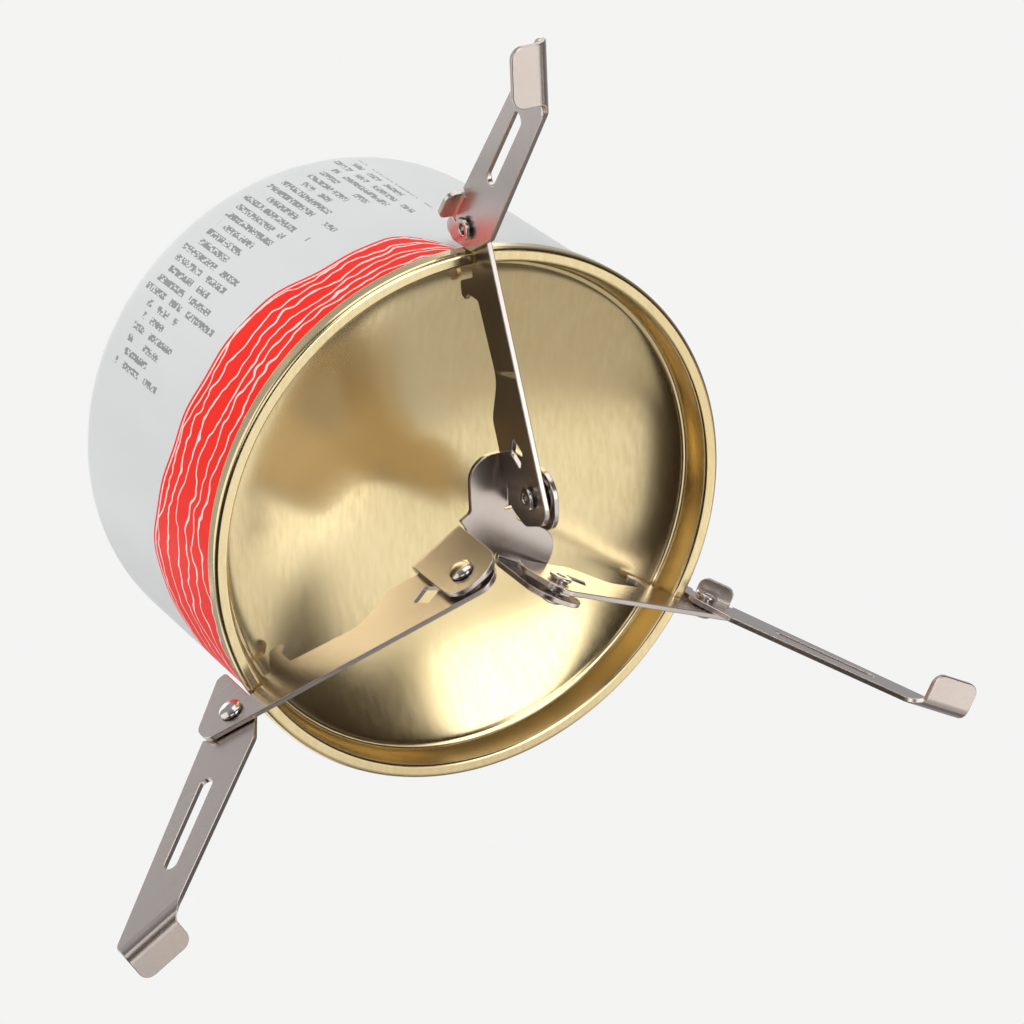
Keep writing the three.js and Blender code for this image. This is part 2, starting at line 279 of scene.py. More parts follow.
def grid_faces(
    rows: int, columns: int, row_wrap: bool, column_wrap: bool
) -> tuple[np.ndarray, np.ndarray]:
    """Four-sided faces of a grid whose points run row by row.

    Args:
        rows: number of rows of points.
        columns: points in each row.
        row_wrap: whether the last row joins the first.
        column_wrap: whether each row's end joins its start.

    Returns:
        Faces as point numbers, and each corner's unwrapped (row, column).
    """
    row = np.arange(rows if row_wrap else rows - 1)
    column = np.arange(columns if column_wrap else columns - 1)
    row, column = (a.ravel() for a in np.meshgrid(row, column, indexing="ij"))
    corner_rows = np.stack([row, row, row + 1, row + 1], axis=1)
    corner_columns = np.stack([column, column + 1, column + 1, column], axis=1)
    faces = (corner_rows % rows) * columns + corner_columns % columns
    return faces, np.stack([corner_rows, corner_columns], axis=2)


def revolve(profile: Outline, segments: int = 256, ripple: Optional[Callable] = None) -> Surface:
    """Surface of revolution about Z.

    A profile point (r, z) becomes (r cos a, r sin a, z). Where the profile starts and ends on
    the axis, each pole is one point. The chart is (turns, z in metres).

    Args:
        profile: (r, z) line, counter-clockwise round the material.
        segments: points round the axis.
        ripple: optional change of radius, given the arrays of angle and height.

    Returns:
        The closed surface.
    """
    radius, height = profile.points.T
    poles = not profile.closed
    body = slice(1, -1) if poles else slice(None)
    angle = np.linspace(0, 2 * math.pi, segments, endpoint=False)[None, :]
    r, z = radius[body][:, None], height[body][:, None]
    if ripple is not None:
        r = r + ripple(angle, z)
    r = np.broadcast_to(r, (z.shape[0], segments))
    points = np.stack([r * np.cos(angle), r * np.sin(angle), np.broadcast_to(z, r.shape)], 2)
    nr, nz = (part[:, None] for part in profile.normals[body].T)
    normals = np.stack([nr * np.cos(angle), nr * np.sin(angle), np.broadcast_to(nz, r.shape)], 2)
    rows = len(z)
    faces, where = grid_faces(rows, segments, profile.closed, True)
    heights = np.append(height[body], height[body][0]) * MM
    charts = [np.stack([where[..., 1] / segments, heights[where[..., 0]]], axis=2)]
    all_faces = [faces]
    points, normals = points.reshape(-1, 3), normals.reshape(-1, 3)
    if poles:
        ends = np.array([[0, 0, height[0]], [0, 0, height[-1]]])
        points = np.vstack([points, ends])
        normals = np.vstack([normals, [[0, 0, -1]], [[0, 0, 1]]])
        j = np.arange(segments)
        k = (j + 1) % segments
        bottom, top, last = rows * segments, rows * segments + 1, (rows - 1) * segments
        all_faces.append(np.stack([np.full(segments, bottom), k, j], axis=1))
        all_faces.append(np.stack([np.full(segments, top), last + j, last + k], axis=1))
        turn = np.stack([j + 0.5, j + 1, j], axis=1) / segments
        charts.append(np.stack([turn, np.full_like(turn, height[0] * MM)], axis=2))
        charts.append(np.stack([turn[:, [0, 2, 1]], np.full_like(turn, height[-1] * MM)], axis=2))
    if ripple is not None:
        normals = surface_normals(points, all_faces)
    return Surface(points, normals, all_faces, charts)


def surface_normals(points: np.ndarray, faces: Sequence[np.ndarray]) -> np.ndarray:
    """Normal at each point: the sum of its faces' area vectors, made one long."""
    total = np.zeros_like(points)
    for group in faces:
        across = np.cross(
            points[group[:, 2]] - points[group[:, 0]],
            points[group[:, -1]] - points[group[:, 1]],
        )
        for corner in range(group.shape[1]):
            np.add.at(total, group[:, corner], across)
    return total / np.maximum(np.linalg.norm(total, axis=1), 1e-12)[:, None]


def coil(
    radius: float,
    wire: float,
    low: float,
    high: float,
    turns: float,
    sides: int = 12,
    steps: int = 36,
) -> Surface:
    """Round wire wound about Z.

    The middle of the wire is (radius cos a, radius sin a, z), z rising evenly from low to high.
    Each ring is wire (cos f n + sin f b), with n straight out from Z and b the wire's direction
    crossed with n. Each end is closed by a fan.

    Args:
        radius: radius of the coil's middle line.
        wire: radius of the wire.
        low: height of the middle line's start.
        high: height of its end.
        turns: number of turns.
        sides: points round the wire.
        steps: rings of points in each turn.

    Returns:
        The closed surface.
    """
    rows = int(turns * steps) + 1
    angle = np.linspace(0, 2 * math.pi * turns, rows)
    out = np.stack([np.cos(angle), np.sin(angle), np.zeros(rows)], 1)
    path = radius * out + np.linspace(low, high, rows)[:, None] * np.array([0, 0, 1.0])
    along = np.gradient(path, axis=0)
    along /= np.linalg.norm(along, axis=1)[:, None]
    side = np.cross(along, out)
    around = np.linspace(0, 2 * math.pi, sides, endpoint=False)
    spokes = out[:, None] * np.cos(around)[:, None] + side[:, None] * np.sin(around)[:, None]
    faces, where = grid_faces(rows, sides, False, True)
    count = rows * sides
    j = np.arange(sides)
    k = (j + 1) % sides
    start = np.stack([np.full(sides, count), k, j], axis=1)
    end = np.stack([np.full(sides, count + 1), count - sides + j, count - sides + k], axis=1)
    points = np.vstack([(path[:, None] + wire * spokes).reshape(-1, 3), path[:1], path[-1:]])
    groups = [faces, start, end]
    charts = [where[..., ::-1] * wire * MM, np.zeros((sides, 3, 2)), np.zeros((sides, 3, 2))]
    return Surface(points, surface_normals(points, groups), groups, charts)


# ------------------------------------------------------------------------------ bent sheet


FLAP_SLACK = 0.02
"""How far past a flap's ends a flat point may lie and still be on it."""

BEND_MARGIN = 0.15
"""How far the extra rows of points run on at each side of a bend's arc."""

ROW_INSET = (0.5, 0.4)
"""How far those rows start and stop inside the flap's ends."""

RIM_CLEARANCE = 0.3
"""Nearest that an extra point may lie to an edge."""


@dataclass(frozen=True)
class Fold:
    """A right-angle bend of a flat blank.

    Past the bend's start line the sheet's middle follows an arc, and then runs straight on.

    Attributes:
        start: a point on the line where the bend starts.
        heading: unit direction into the flap, square to that line.
        radius: radius of the sheet's middle through the bend.
        side: 1 where the flap turns towards the blank's front, and -1 towards its back.
        span: lowest and highest place along the line that the flap takes up.
    """

    start: tuple[float, float]
    heading: tuple[float, float]
    radius: float
    side: float
    span: tuple[float, float]

    @property
    def arc(self) -> float:
        """Length of the sheet's middle through the bend."""
        return self.radius * math.pi / 2

    def local(self, flat: np.ndarray) -> tuple[np.ndarray, np.ndarray]:
        """Distance of flat points past the start line, and their place along it."""
        e = np.array(self.heading)
        off = flat - np.array(self.start)
        return off @ e, off @ np.array([-e[1], e[0]])

    def takes(self, flat: np.ndarray) -> np.ndarray:
        """Whether each flat point lies on the flap."""
        past, along = self.local(flat)
        low, high = self.span[0] - FLAP_SLACK, self.span[1] + FLAP_SLACK
        return (past > 0) & (along >= low) & (along <= high)

    def rows(self, spacing: float = 0.7, steps: int = 9) -> np.ndarray:
        """Extra points on lines along the bend, so that the arc comes out smooth.

        Args:
            spacing: distance between the points of a line.
            steps: number of lines.

        Returns:
            (N, 2) places on the blank.
        """
        e = np.array(self.heading)
        past = np.linspace(-BEND_MARGIN, self.arc + BEND_MARGIN, steps)
        along = np.arange(self.span[0] + ROW_INSET[0], self.span[1] - ROW_INSET[1], spacing)
        p, a = (v.ravel()[:, None] for v in np.meshgrid(past, along, indexing="ij"))
        return np.array(self.start) + p * e + a * np.array([-e[1], e[0]])

    def bend(self, flat: np.ndarray, front: np.ndarray) -> tuple[np.ndarray, np.ndarray]:
        """Bends flat points that stand off the sheet's middle.

        Args:
            flat: (N, 2) places on the blank.
            front: (N,) distances in front of the middle.

        Returns:
            (N, 3) bent points (blank x, blank y, height in front), and for each the three
            directions of the blank's x, y and front there, as rows of an (N, 3, 3) array.
        """
        past, _ = self.local(flat)
        on_flap = self.takes(flat)
        angle = np.where(on_flap, np.clip(past, 0, self.arc) / self.radius, 0)
        cos, sin = np.cos(angle), np.sin(angle)
        beyond = np.where(on_flap, np.maximum(past - self.arc, 0), 0)
        e = np.array([*self.heading, 0.0])
        n = np.array([0.0, 0.0, self.side])
        drawn_back = np.where(on_flap, past, 0)[:, None] * e[:2]
        root = np.column_stack([flat - drawn_back, np.zeros(len(flat))])
        rise = self.radius * (1 - cos) + beyond
        middle = root + (self.radius * sin)[:, None] * e + rise[:, None] * n
        front_way = cos[:, None] * np.array([0, 0, 1.0]) - (self.side * sin)[:, None] * e
        turn = np.empty((len(flat), 3, 3))
        for axis in range(2):
            base = np.eye(3)[axis]
            share = base @ e
            turn[:, axis] = base - share * e + share * (cos[:, None] * e + sin[:, None] * n)
        turn[:, 2] = front_way
        return middle + front[:, None] * front_way, turn


def inside(points: np.ndarray, loops: Sequence[np.ndarray]) -> np.ndarray:
    """Even-odd test: whether each point is inside a set of closed loops.

    Args:
        points: (N, 2) places.
        loops: closed lines, each (M, 2).

    Returns:
        (N,) true where a ray to the right crosses the loops an odd number of times.
    """
    crossings = np.zeros(len(points), int)
    for loop in loops:
        a, b = loop[None], np.roll(loop, -1, axis=0)[None]
        x, y = points[:, :1], points[:, 1:]
        straddles = (a[..., 1] > y) != (b[..., 1] > y)
        rise = np.where(b[..., 1] == a[..., 1], 1e-12, b[..., 1] - a[..., 1])
        cut = a[..., 0] + (y - a[..., 1]) * (b[..., 0] - a[..., 0]) / rise
        crossings += np.sum(straddles & (x < cut), axis=1)
    return crossings % 2 == 1


@dataclass
class SheetBlank:
    """A flat blank of sheet metal with holes and bends.

    Attributes:
        outline: outer edge, counter-clockwise.
        holes: edges of the holes.
        thickness: thickness of the sheet.
        folds: bends, each with a flap of its own.
        rim: radius of the broken edge.
    """

    outline: Outline
    holes: list[Outline]
    thickness: float
    folds: list[Fold] = field(default_factory=list)
    rim: float = 0.2

    def surface(self, step: float = 0.9, rim_points: int = 5) -> Surface:
        """Closed surface of the sheet.

        The edge is a quarter round, a straight wall and a quarter round, carried along each
        loop. The two faces are a triangle net between the loops, and every point then goes
        through the bends.

        Args:
            step: longest stretch of an edge.
            rim_points: points on each quarter round.

        Returns:
            The surface in blank coordinates (x, y, front), its chart the flat blank in metres.
        """
        half = self.thickness / 2
        quarter = np.linspace(0, math.pi / 2, rim_points)
        sine, cosine = np.sin(quarter), np.cos(quarter)
        depth = np.concatenate([self.rim * (1 - sine), self.rim * (1 - cosine)])
        front = np.concatenate([self.rim * (1 - cosine) - half, half - self.rim * (1 - sine)])
        lean = np.concatenate([sine, cosine])
        rise = np.concatenate([-cosine, sine])
        rows = len(depth)
        flats, fronts, normals, faces = [], [], [], []
        loops, starts, total = [], [], 0
        for edge in [self.outline, *self.holes]:
            dense = edge.denser(step)
            size = len(dense.points)
            layers = dense.points - depth[:, None, None] * dense.normals
            flats.append(layers.reshape(-1, 2))
            fronts.append(np.repeat(front, size))
            unit = dense.normals / np.linalg.norm(dense.normals, axis=1)[:, None]
            sideways = lean[:, None, None] * unit
            upright = np.broadcast_to(rise[:, None, None], (rows, size, 1))
            normals.append(np.concatenate([sideways, upright], 2).reshape(-1, 3))
            faces.append(grid_faces(rows, size, False, True)[0] + total)
            loops.append(dense.inset(self.rim))
            starts.append((total, size))
            total += rows * size
        net_points, net_faces = self._net(loops)
        rims = np.concatenate([start + np.arange(size) for start, size in starts])
        last = rows - 1
        tops = np.concatenate([start + last * size + np.arange(size) for start, size in starts])
        extra = net_points[len(rims):]
        back_ids = np.concatenate([rims, total + np.arange(len(extra))])
        front_ids = np.concatenate([tops, total + len(extra) + np.arange(len(extra))])
        flats += [extra, extra]
        fronts += [np.full(len(extra), -half), np.full(len(extra), half)]
        normals += [np.tile([0, 0, -1.0], (len(extra), 1)), np.tile([0, 0, 1.0], (len(extra), 1))]
        quads = np.vstack(faces)
        triangles = np.vstack([front_ids[net_faces], back_ids[net_faces[:, ::-1]]])
        flat, height, normal = np.vstack(flats), np.concatenate(fronts), np.vstack(normals)
        points = np.column_stack([flat, height])
        for fold in self.folds:
            taken = fold.takes(flat)
            bent, turn = fold.bend(flat[taken], height[taken])
            points[taken] = bent
            normal[taken] = np.einsum("ni,nij->nj", normal[taken], turn)
        charts = [flat[quads] * MM, flat[triangles] * MM]
        return Surface(points, normal, [quads, triangles], charts)

    def _net(self, loops: list[np.ndarray]) -> tuple[np.ndarray, np.ndarray]:
        """Triangles between loops, with extra points along the bends.

        Args:
            loops: outer loop and the holes' loops, each (M, 2).

        Returns:
            Points, the loops' own first, and counter-clockwise triangles as point numbers.
        """
        rims = np.vstack(loops)
        extra = [fold.rows() for fold in self.folds]
        grid = np.vstack(extra) if extra else np.empty((0, 2))
        if len(grid):
            grid = grid[inside(grid, loops)]
            gap = np.min(np.linalg.norm(grid[:, None] - rims[None], axis=2), axis=1)
            grid = grid[gap > RIM_CLEARANCE]
        points = np.vstack([rims, grid])
        edges: list[tuple[int, int]] = []
        begin = 0
        for loop in loops:
            here = np.arange(len(loop)) + begin
            edges += list(zip(here.tolist(), np.roll(here, -1).tolist()))
            begin += len(loop)
        _, _, faces, origins, _, _ = delaunay_2d_cdt(
            [Vector(p) for p in points.tolist()], edges, [], 0, 1e-7
        )
        source = np.array([o[0] if o else -1 for o in origins])
        triangles = source[np.array(faces)]
        triangles = triangles[np.all(triangles >= 0, axis=1)]
        centres = points[triangles].mean(axis=1)
        triangles = triangles[inside(centres, loops)]
        a, b, c = (points[triangles[:, k]] for k in range(3))
        ab, ac = b - a, c - a
        clockwise = ab[:, 0] * ac[:, 1] - ab[:, 1] * ac[:, 0] < 0
        triangles[clockwise] = triangles[clockwise][:, ::-1]
        return points, triangles


# ------------------------------------------------------------------------------ finishes


class Graph:
    """Short hand for the nodes of one material."""

    def __init__(self, name: str) -> None:
        """Starts an empty material with its output node."""
        self.material = bpy.data.materials.new(name)
        self.material.use_nodes = True
        self.tree = self.material.node_tree
        self.tree.nodes.clear()
        self.output = self.tree.nodes.new("ShaderNodeOutputMaterial")

    def node(self, kind: str, inputs: Optional[dict] = None, **settings) -> bpy.types.Node:
        """Adds a node.

        Args:
            kind: the node's type without its ShaderNode prefix.
            inputs: socket name or number to a socket to link or a value to set.
            settings: the node's own properties.

        Returns:
            The new node.
        """
        made = self.tree.nodes.new("ShaderNode" + kind)
        for key, value in settings.items():
            setattr(made, key, value)
        for key, value in (inputs or {}).items():
            socket = made.inputs[key]
            if isinstance(value, Socket):
                self.tree.links.new(value, socket)
            elif isinstance(value, tuple):
                socket.default_value = (*value, 1.0)[: len(socket.default_value)]
            else:
                socket.default_value = value
        return made

    def math(self, operation: str, *values: object) -> Socket:
        """A Math node's result from sockets or numbers."""
        return self.node("Math", dict(enumerate(values)), operation=operation).outputs[0]

    def mul(self, *values: object) -> Socket:
        """Product of two or more values."""
        return reduce(lambda first, second: self.math("MULTIPLY", first, second), values)

    def add(self, first: object, second: object) -> Socket:
        """Sum of two values."""
        return self.math("ADD", first, second)

    def sub(self, first: object, second: object) -> Socket:
        """First value less the second."""
        return self.math("SUBTRACT", first, second)

    def line(self, value: object, slope: object, start: object) -> Socket:
        """Value times slope plus start."""
        return self.math("MULTIPLY_ADD", value, slope, start)

    def within(self, value: Socket, low: float, high: float, soft: float = 0.003) -> Socket:
        """1 between low and high, falling to 0 past either over a soft width."""
        return self.mul(
            self.band(value, low, low + soft), self.sub(1.0, self.band(value, high, high + soft))
        )

    def mix(self, share: object, first: object, second: object) -> Socket:
        """Mixes two colours by a share."""
        return self.node("MixRGB", {0: share, 1: first, 2: second}).outputs[0]

    def band(self, value: Socket, low: float, high: float) -> Socket:
        """Soft step: 0 below low, 1 above high, smooth between."""
        limits = {0: value, 1: low, 2: high, 3: 0.0, 4: 1.0}
        return self.node("MapRange", limits, interpolation_type="SMOOTHSTEP").outputs[0]

    def scaled(self, vector: Socket, scale: Sequence[float], turn: float = 0.0) -> Socket:
        """Vector scaled for each axis after a turn about Z in degrees."""
        turned = (0.0, 0.0, math.radians(turn))
        inputs = {"Vector": vector, "Scale": tuple(scale), "Rotation": turned}
        return self.node("Mapping", inputs, vector_type="POINT").outputs[0]

    def noise(
        self, vector: Socket, scale: float, detail: float = 2.0, rough: float = 0.5
    ) -> Socket:
        """Noise value at a vector."""
        inputs = {"Vector": vector, "Scale": scale, "Detail": detail, "Roughness": rough}
        return self.node("TexNoise", inputs).outputs["Fac"]

    def bump(
        self, height: Socket, strength: float, distance: float, below: Optional[Socket] = None
    ) -> Socket:
        """Bumps a surface by a height of a real distance in metres, over another bump if given."""
        inputs = {"Height": height, "Strength": strength, "Distance": distance}
        if below is not None:
            inputs["Normal"] = below
        return self.node("Bump", inputs).outputs[0]

    def places(self) -> Socket:
        """Object coordinates."""
        return self.node("TexCoord").outputs["Object"]

    def chart(self) -> Socket:
        """The piece's own chart."""
        return self.node("UVMap", uv_map="chart").outputs[0]

    def finished(self, **inputs: object) -> bpy.types.Material:
        """Ends in one Principled shader with the given sockets (underscores stand for spaces)."""
        named = {key.replace("_", " "): value for key, value in inputs.items()}
        shader = self.node("BsdfPrincipled", named)
        self.tree.links.new(shader.outputs[0], self.output.inputs[0])
        return self.material


@dataclass(frozen=True)
class SatinSheet:
    """Rolled stainless sheet with a fine satin grain along its length.

    Attributes:
        colour: colour of the metal.
        roughness: middle roughness of the grain.
        along: length of a grain line, in metres.
        across: width of a grain line, in metres.
    """

    colour: Colour = (0.66, 0.60, 0.57)
    roughness: float = 0.24
    along: float = 0.009
    across: float = 0.0001

    def build(self) -> bpy.types.Material:
        """Grain is noise drawn out along the sheet; smudges are slow noise; both turn roughness."""
        g = Graph("satin_stainless")
        chart = g.chart()
        grain = g.noise(g.scaled(chart, (1 / self.along, 1 / self.across, 1)), 1.0, 3.0, 0.6)
        long_grain = g.noise(g.scaled(chart, (60, 2600, 1)), 1.0, 2.0)
        smudge = g.noise(g.places(), 55.0, 3.0)
        tone = g.line(grain, 0.5, g.mul(long_grain, 0.5))
        shade = g.mix(g.band(tone, 0.3, 0.7), tuple(c * 0.95 for c in self.colour), self.colour)
        warm = g.mix(g.mul(g.band(smudge, 0.42, 0.7), 0.35), shade, (0.62, 0.53, 0.49))
        rough = g.add(self.roughness - 0.05, g.mul(tone, 0.08))
        rough = g.add(rough, g.mul(smudge, 0.05))
        normal = g.bump(grain, 0.10, 0.00001)
        return g.finished(Base_Color=warm, Metallic=1.0, Roughness=rough, Normal=normal)


@dataclass(frozen=True)
class GoldLacquer:
    """Clear gold lacquer over bright tinplate, with the strip's rolling lines.

    Attributes:
        colour: colour seen face on.
        deep: colour in the thicker lacquer.
        roughness: middle roughness.
    """

    colour: Colour = (0.84, 0.71, 0.43)
    deep: Colour = (0.77, 0.62, 0.34)
    roughness: float = 0.19

    def build(self) -> bpy.types.Material:
        """Rolling lines run straight across the end, as the strip's did, whatever its pressing."""
        g = Graph("gold_lacquered_tinplate")
        places = g.places()
        lines = g.noise(g.scaled(places, (9000, 120, 120), -38.0), 1.0, 2.0, 0.6)
        mottle = g.noise(g.scaled(places, (900, 260, 260), -38.0), 1.0, 4.0, 0.62)
        cloud = g.noise(places, 28.0, 3.0)
        depth = g.line(cloud, 0.6, g.mul(mottle, 0.4))
        tint = g.mix(g.band(depth, 0.35, 0.68), self.colour, self.deep)
        tint = g.mix(g.mul(g.band(lines, 0.45, 0.8), 0.16), tint, (0.95, 0.86, 0.66))
        rough = g.add(self.roughness - 0.05, g.mul(mottle, 0.10))
        fine = g.bump(lines, 0.03, 0.00001)
        normal = g.bump(mottle, 0.035, 0.00002, fine)
        return g.finished(
            Base_Color=tint, Metallic=1.0, Roughness=rough, Normal=normal,
            Coat_Weight=0.08, Coat_Roughness=0.15,
        )


@dataclass(frozen=True)
class CanPrint:
    """Printed wall: grey-white ground, a red wavy band with thin white lines, and rows of specks.

    The chart gives turns round the can and metres above the seam's underside.

    Attributes:
        foot: height above the seam's underside where the print starts, in millimetres.
        crest: (turn, height above the foot in millimetres) of the band's upper edge.
        crest_scale: height that the crest's ramp counts as 1, in millimetres.
        lines: number of thin lines laid over the band.
        line_width: width of each, in millimetres.
        neck: height above which the shoulder's metal is bare, in millimetres.
        columns: number of speck rows that would fit round the can.
        speck_blocks: first and last turn of each part of the wall that has specks.
    """

    foot: float = 3.3
    crest: tuple[tuple[float, float], ...] = (
        (0.0, 0.0), (0.03, 6.0), (0.10, 15.0), (0.17, 21.0), (0.24, 20.0), (0.31, 25.0),
        (0.38, 28.5), (0.47, 29.0), (0.515, 27.5), (0.558, 21.0), (0.60, 22.0), (0.645, 21.5),
        (0.685, 15.5), (0.73, 17.0), (0.745, 12.0), (0.760, 0.0),
    )
    crest_scale: float = 40.0
    lines: int = 7
    line_width: float = 0.46
    neck: float = 78.0
    columns: int = 128
    speck_blocks: tuple[tuple[float, float], ...] = ((0.568, 0.775), (0.14, 0.33))

    def build(self) -> bpy.types.Material:
        """Thin lines each keep a share of the crest's height, shaken by their own slow noise."""
        g = Graph("printed_wall")
        parts = g.node("SeparateXYZ", {0: g.chart()})
        turn, height = parts.outputs[0], g.math("DIVIDE", parts.outputs[1], MM)
        above = g.sub(height, self.foot)
        crest = self._crest(g, turn)
        below_crest = g.math("LESS_THAN", above, crest)
        inside_band = g.mul(below_crest, g.math("GREATER_THAN", above, 0.0))
        white = self._lines(g, turn, above, crest)
        ground = self._ground(g, turn, height)
        red = g.mix(g.noise(g.chart(), 90.0, 2.0), (0.93, 0.012, 0.003), (0.98, 0.020, 0.005))
        band = g.mix(white, red, (0.86, 0.80, 0.78))
        colour = g.mix(inside_band, ground, band)
        bare = g.sub(1.0, g.band(height, self.foot - 0.05, self.foot + 0.05))
        colour = g.mix(bare, colour, (0.80, 0.70, 0.48))
        neck = g.band(height, self.neck - 0.1, self.neck + 0.1)
        colour = g.mix(neck, colour, (0.62, 0.60, 0.57))
        metal = g.math("MAXIMUM", bare, neck)
        orange_peel = g.noise(g.places(), 900.0, 2.0)
        rough = g.line(g.noise(g.places(), 60.0, 3.0), 0.10, 0.36)
        normal = g.bump(orange_peel, 0.08, 0.00001)
        return g.finished(
            Base_Color=colour, Metallic=metal, Roughness=rough, Normal=normal,
            Specular_IOR_Level=0.12, Coat_Weight=0.03, Coat_Roughness=0.14,
        )

    def _crest(self, g: Graph, turn: Socket) -> Socket:
        """Height of the band's upper edge round the can, with two small ripples.

        The ripples are sines of 11 and 23 waves round the can, and fade out where the band ends.

        Args:
            g: the material's nodes.
            turn: turns round the can.

        Returns:
            Millimetres from the band's foot to its upper edge.
        """
        ramp = g.node("ValToRGB", {0: turn})
        ramp.color_ramp.interpolation = "B_SPLINE"
        stops = ramp.color_ramp.elements
        while len(stops) > 1:
            stops.remove(stops[-1])
        for index, (place, tall) in enumerate(self.crest):
            stop = stops[0] if index == 0 else stops.new(place)
            stop.position = place
            stop.color = (tall / self.crest_scale,) * 3 + (1.0,)
        base = g.mul(ramp.outputs[0], self.crest_scale)
        angle = g.mul(turn, 2 * math.pi)
        slow, quick = (
            g.mul(g.math("SINE", g.mul(angle, waves)), tall)
            for waves, tall in ((11.0, 0.6), (23.0, 0.3))
        )
        return g.add(base, g.mul(g.add(slow, quick), g.band(base, 1.0, 8.0)))

    def _lines(self, g: Graph, turn: Socket, above: Socket, crest: Socket) -> Socket:
        """1 within half a line's width of any thin line; the line under the edge runs straight.

        Line k of n has height = crest x ((k + 0.3) / n + slow shake) + quick shake in
        millimetres. The shakes come from noise over a circle, so that they join up, moved along
        its axis for each line and leaning a little with height for small hooks.

        Args:
            g: the material's nodes.
            turn: turns round the can.
            above: millimetres above the band's foot.
            crest: millimetres from the foot to the band's upper edge.

        Returns:
            The lines' cover from 0 to 1.
        """
        angle = g.mul(turn, 2 * math.pi)
        cosine, sine = g.math("COSINE", angle), g.math("SINE", angle)
        half = self.line_width / 2
        nearest = g.math("ABSOLUTE", g.sub(g.sub(crest, above), 0.95))
        for k in range(self.lines):
            axis = g.line(above, 0.016, 3.7 * k)
            spot = g.node("CombineXYZ", {0: cosine, 1: sine, 2: axis}).outputs[0]
            slow = g.sub(g.noise(spot, 3.2, 1.0), 0.5)
            quick = g.sub(g.noise(spot, 13.0, 1.0), 0.5)
            share = g.line(slow, 0.30, (k + 0.3) / self.lines)
            level = g.mul(crest, share)
            level = g.line(quick, 3.0, level)
            nearest = g.math("MINIMUM", nearest, g.math("ABSOLUTE", g.sub(above, level)))
        return g.sub(1.0, g.band(nearest, half * 0.75, half * 1.25))

    def _ground(self, g: Graph, turn: Socket, height: Socket) -> Socket:
        """Grey-white ground with upright rows of grey specks over parts of the turn.

        A speck is one of seven cells across a row and half a millimetre tall. White noise of its
        cell drops some specks, and that of every fifth cell leaves gaps as between words. Each
        row starts and stops at a height of its own.

        Args:
            g: the material's nodes.
            turn: turns round the can.
            height: millimetres above the seam's underside.

        Returns:
            Colour of the ground.
        """
        place = g.mul(turn, float(self.columns))
        column, within_column = g.math("FLOOR", place), g.math("FRACT", place)
        off_middle = g.math("ABSOLUTE", g.sub(within_column, 0.5))
        in_column = g.math("LESS_THAN", off_middle, 0.27)
        row = g.math("FLOOR", g.math("DIVIDE", height, 0.5))
        part = g.math("FLOOR", g.mul(within_column, 7.0))
        cell = g.node("CombineXYZ", {0: column, 1: row, 2: part}).outputs[0]
        fifth = g.math("FLOOR", g.math("DIVIDE", row, 5.0))
        word = g.node("CombineXYZ", {0: column, 1: fifth}).outputs[0]
        speck, spaced = (
            g.math("GREATER_THAN", g.node("TexWhiteNoise", {0: spot}).outputs[0], dropped)
            for spot, dropped in ((cell, 0.30), (word, 0.16))
        )
        ends = g.node("TexWhiteNoise", {"W": column}, noise_dimensions="1D").outputs[0]
        begun = g.math("GREATER_THAN", height, g.line(ends, 20.0, 27.0))
        unfinished = g.math("LESS_THAN", height, g.sub(62.0, g.mul(ends, 6.0)))
        block = reduce(
            lambda first, second: g.math("MAXIMUM", first, second),
            [g.within(turn, low, high) for low, high in self.speck_blocks],
        )
        ink = g.mul(in_column, speck, spaced, begun, unfinished, block, 0.7)
        paper = g.mix(g.noise(g.chart(), 40.0, 2.0), (0.70, 0.725, 0.74), (0.74, 0.76, 0.77))
        return g.mix(ink, paper, (0.12, 0.12, 0.13))


@dataclass(frozen=True)
class TurnedMetal:
    """Metal turned, pressed or drawn, with faint rings round it.

    Attributes:
        name: name of the material.
        colour: colour of the metal.
        roughness: middle roughness.
        ring_scale: rings per metre of height or width.
        ring_depth: strength of the rings.
    """

    name: str
    colour: Colour
    roughness: float
    ring_scale: float = 5000.0
    ring_depth: float = 0.12

    def build(self) -> bpy.types.Material:
        """Rings are noise of the chart's height; spots and cloud vary colour and roughness."""
        g = Graph(self.name)
        chart = g.chart()
        rings = g.noise(g.scaled(chart, (6.0, self.ring_scale, 1)), 1.0, 2.0, 0.6)
        cloud = g.noise(g.places(), 260.0, 3.0)
        spots = g.band(g.noise(g.places(), 1900.0, 1.0), 0.62, 0.75)
        dull, dark = (tuple(c * share for c in self.colour) for share in (0.82, 0.5))
        wear = g.band(g.line(rings, 0.4, g.mul(cloud, 0.6)), 0.3, 0.7)
        colour = g.mix(g.mul(spots, 0.15), g.mix(wear, self.colour, dull), dark)
        rough = g.line(cloud, 0.14, self.roughness - 0.07)
        normal = g.bump(rings, self.ring_depth, 0.00002)
        return g.finished(Base_Color=colour, Metallic=1.0, Roughness=rough, Normal=normal)


@dataclass(frozen=True)
class DrawnWire:
    """Bright drawn spring wire.

    Attributes:
        colour: colour of the steel.
        roughness: middle roughness.
    """

    colour: Colour = (0.55, 0.53, 0.51)
    roughness: float = 0.3

    def build(self) -> bpy.types.Material:
        """Die lines and small stains are noise of the place alone."""
        g = Graph("spring_wire")
        lines = g.noise(g.places(), 4200.0, 3.0, 0.6)
        stains = g.noise(g.places(), 700.0, 3.0)
        colour = g.mix(g.band(stains, 0.4, 0.7), self.colour, tuple(c * 0.7 for c in self.colour))
        rough = g.line(lines, 0.2, self.roughness - 0.1)
        normal = g.bump(lines, 0.15, 0.00001)
        return g.finished(Base_Color=colour, Metallic=1.0, Roughness=rough, Normal=normal)


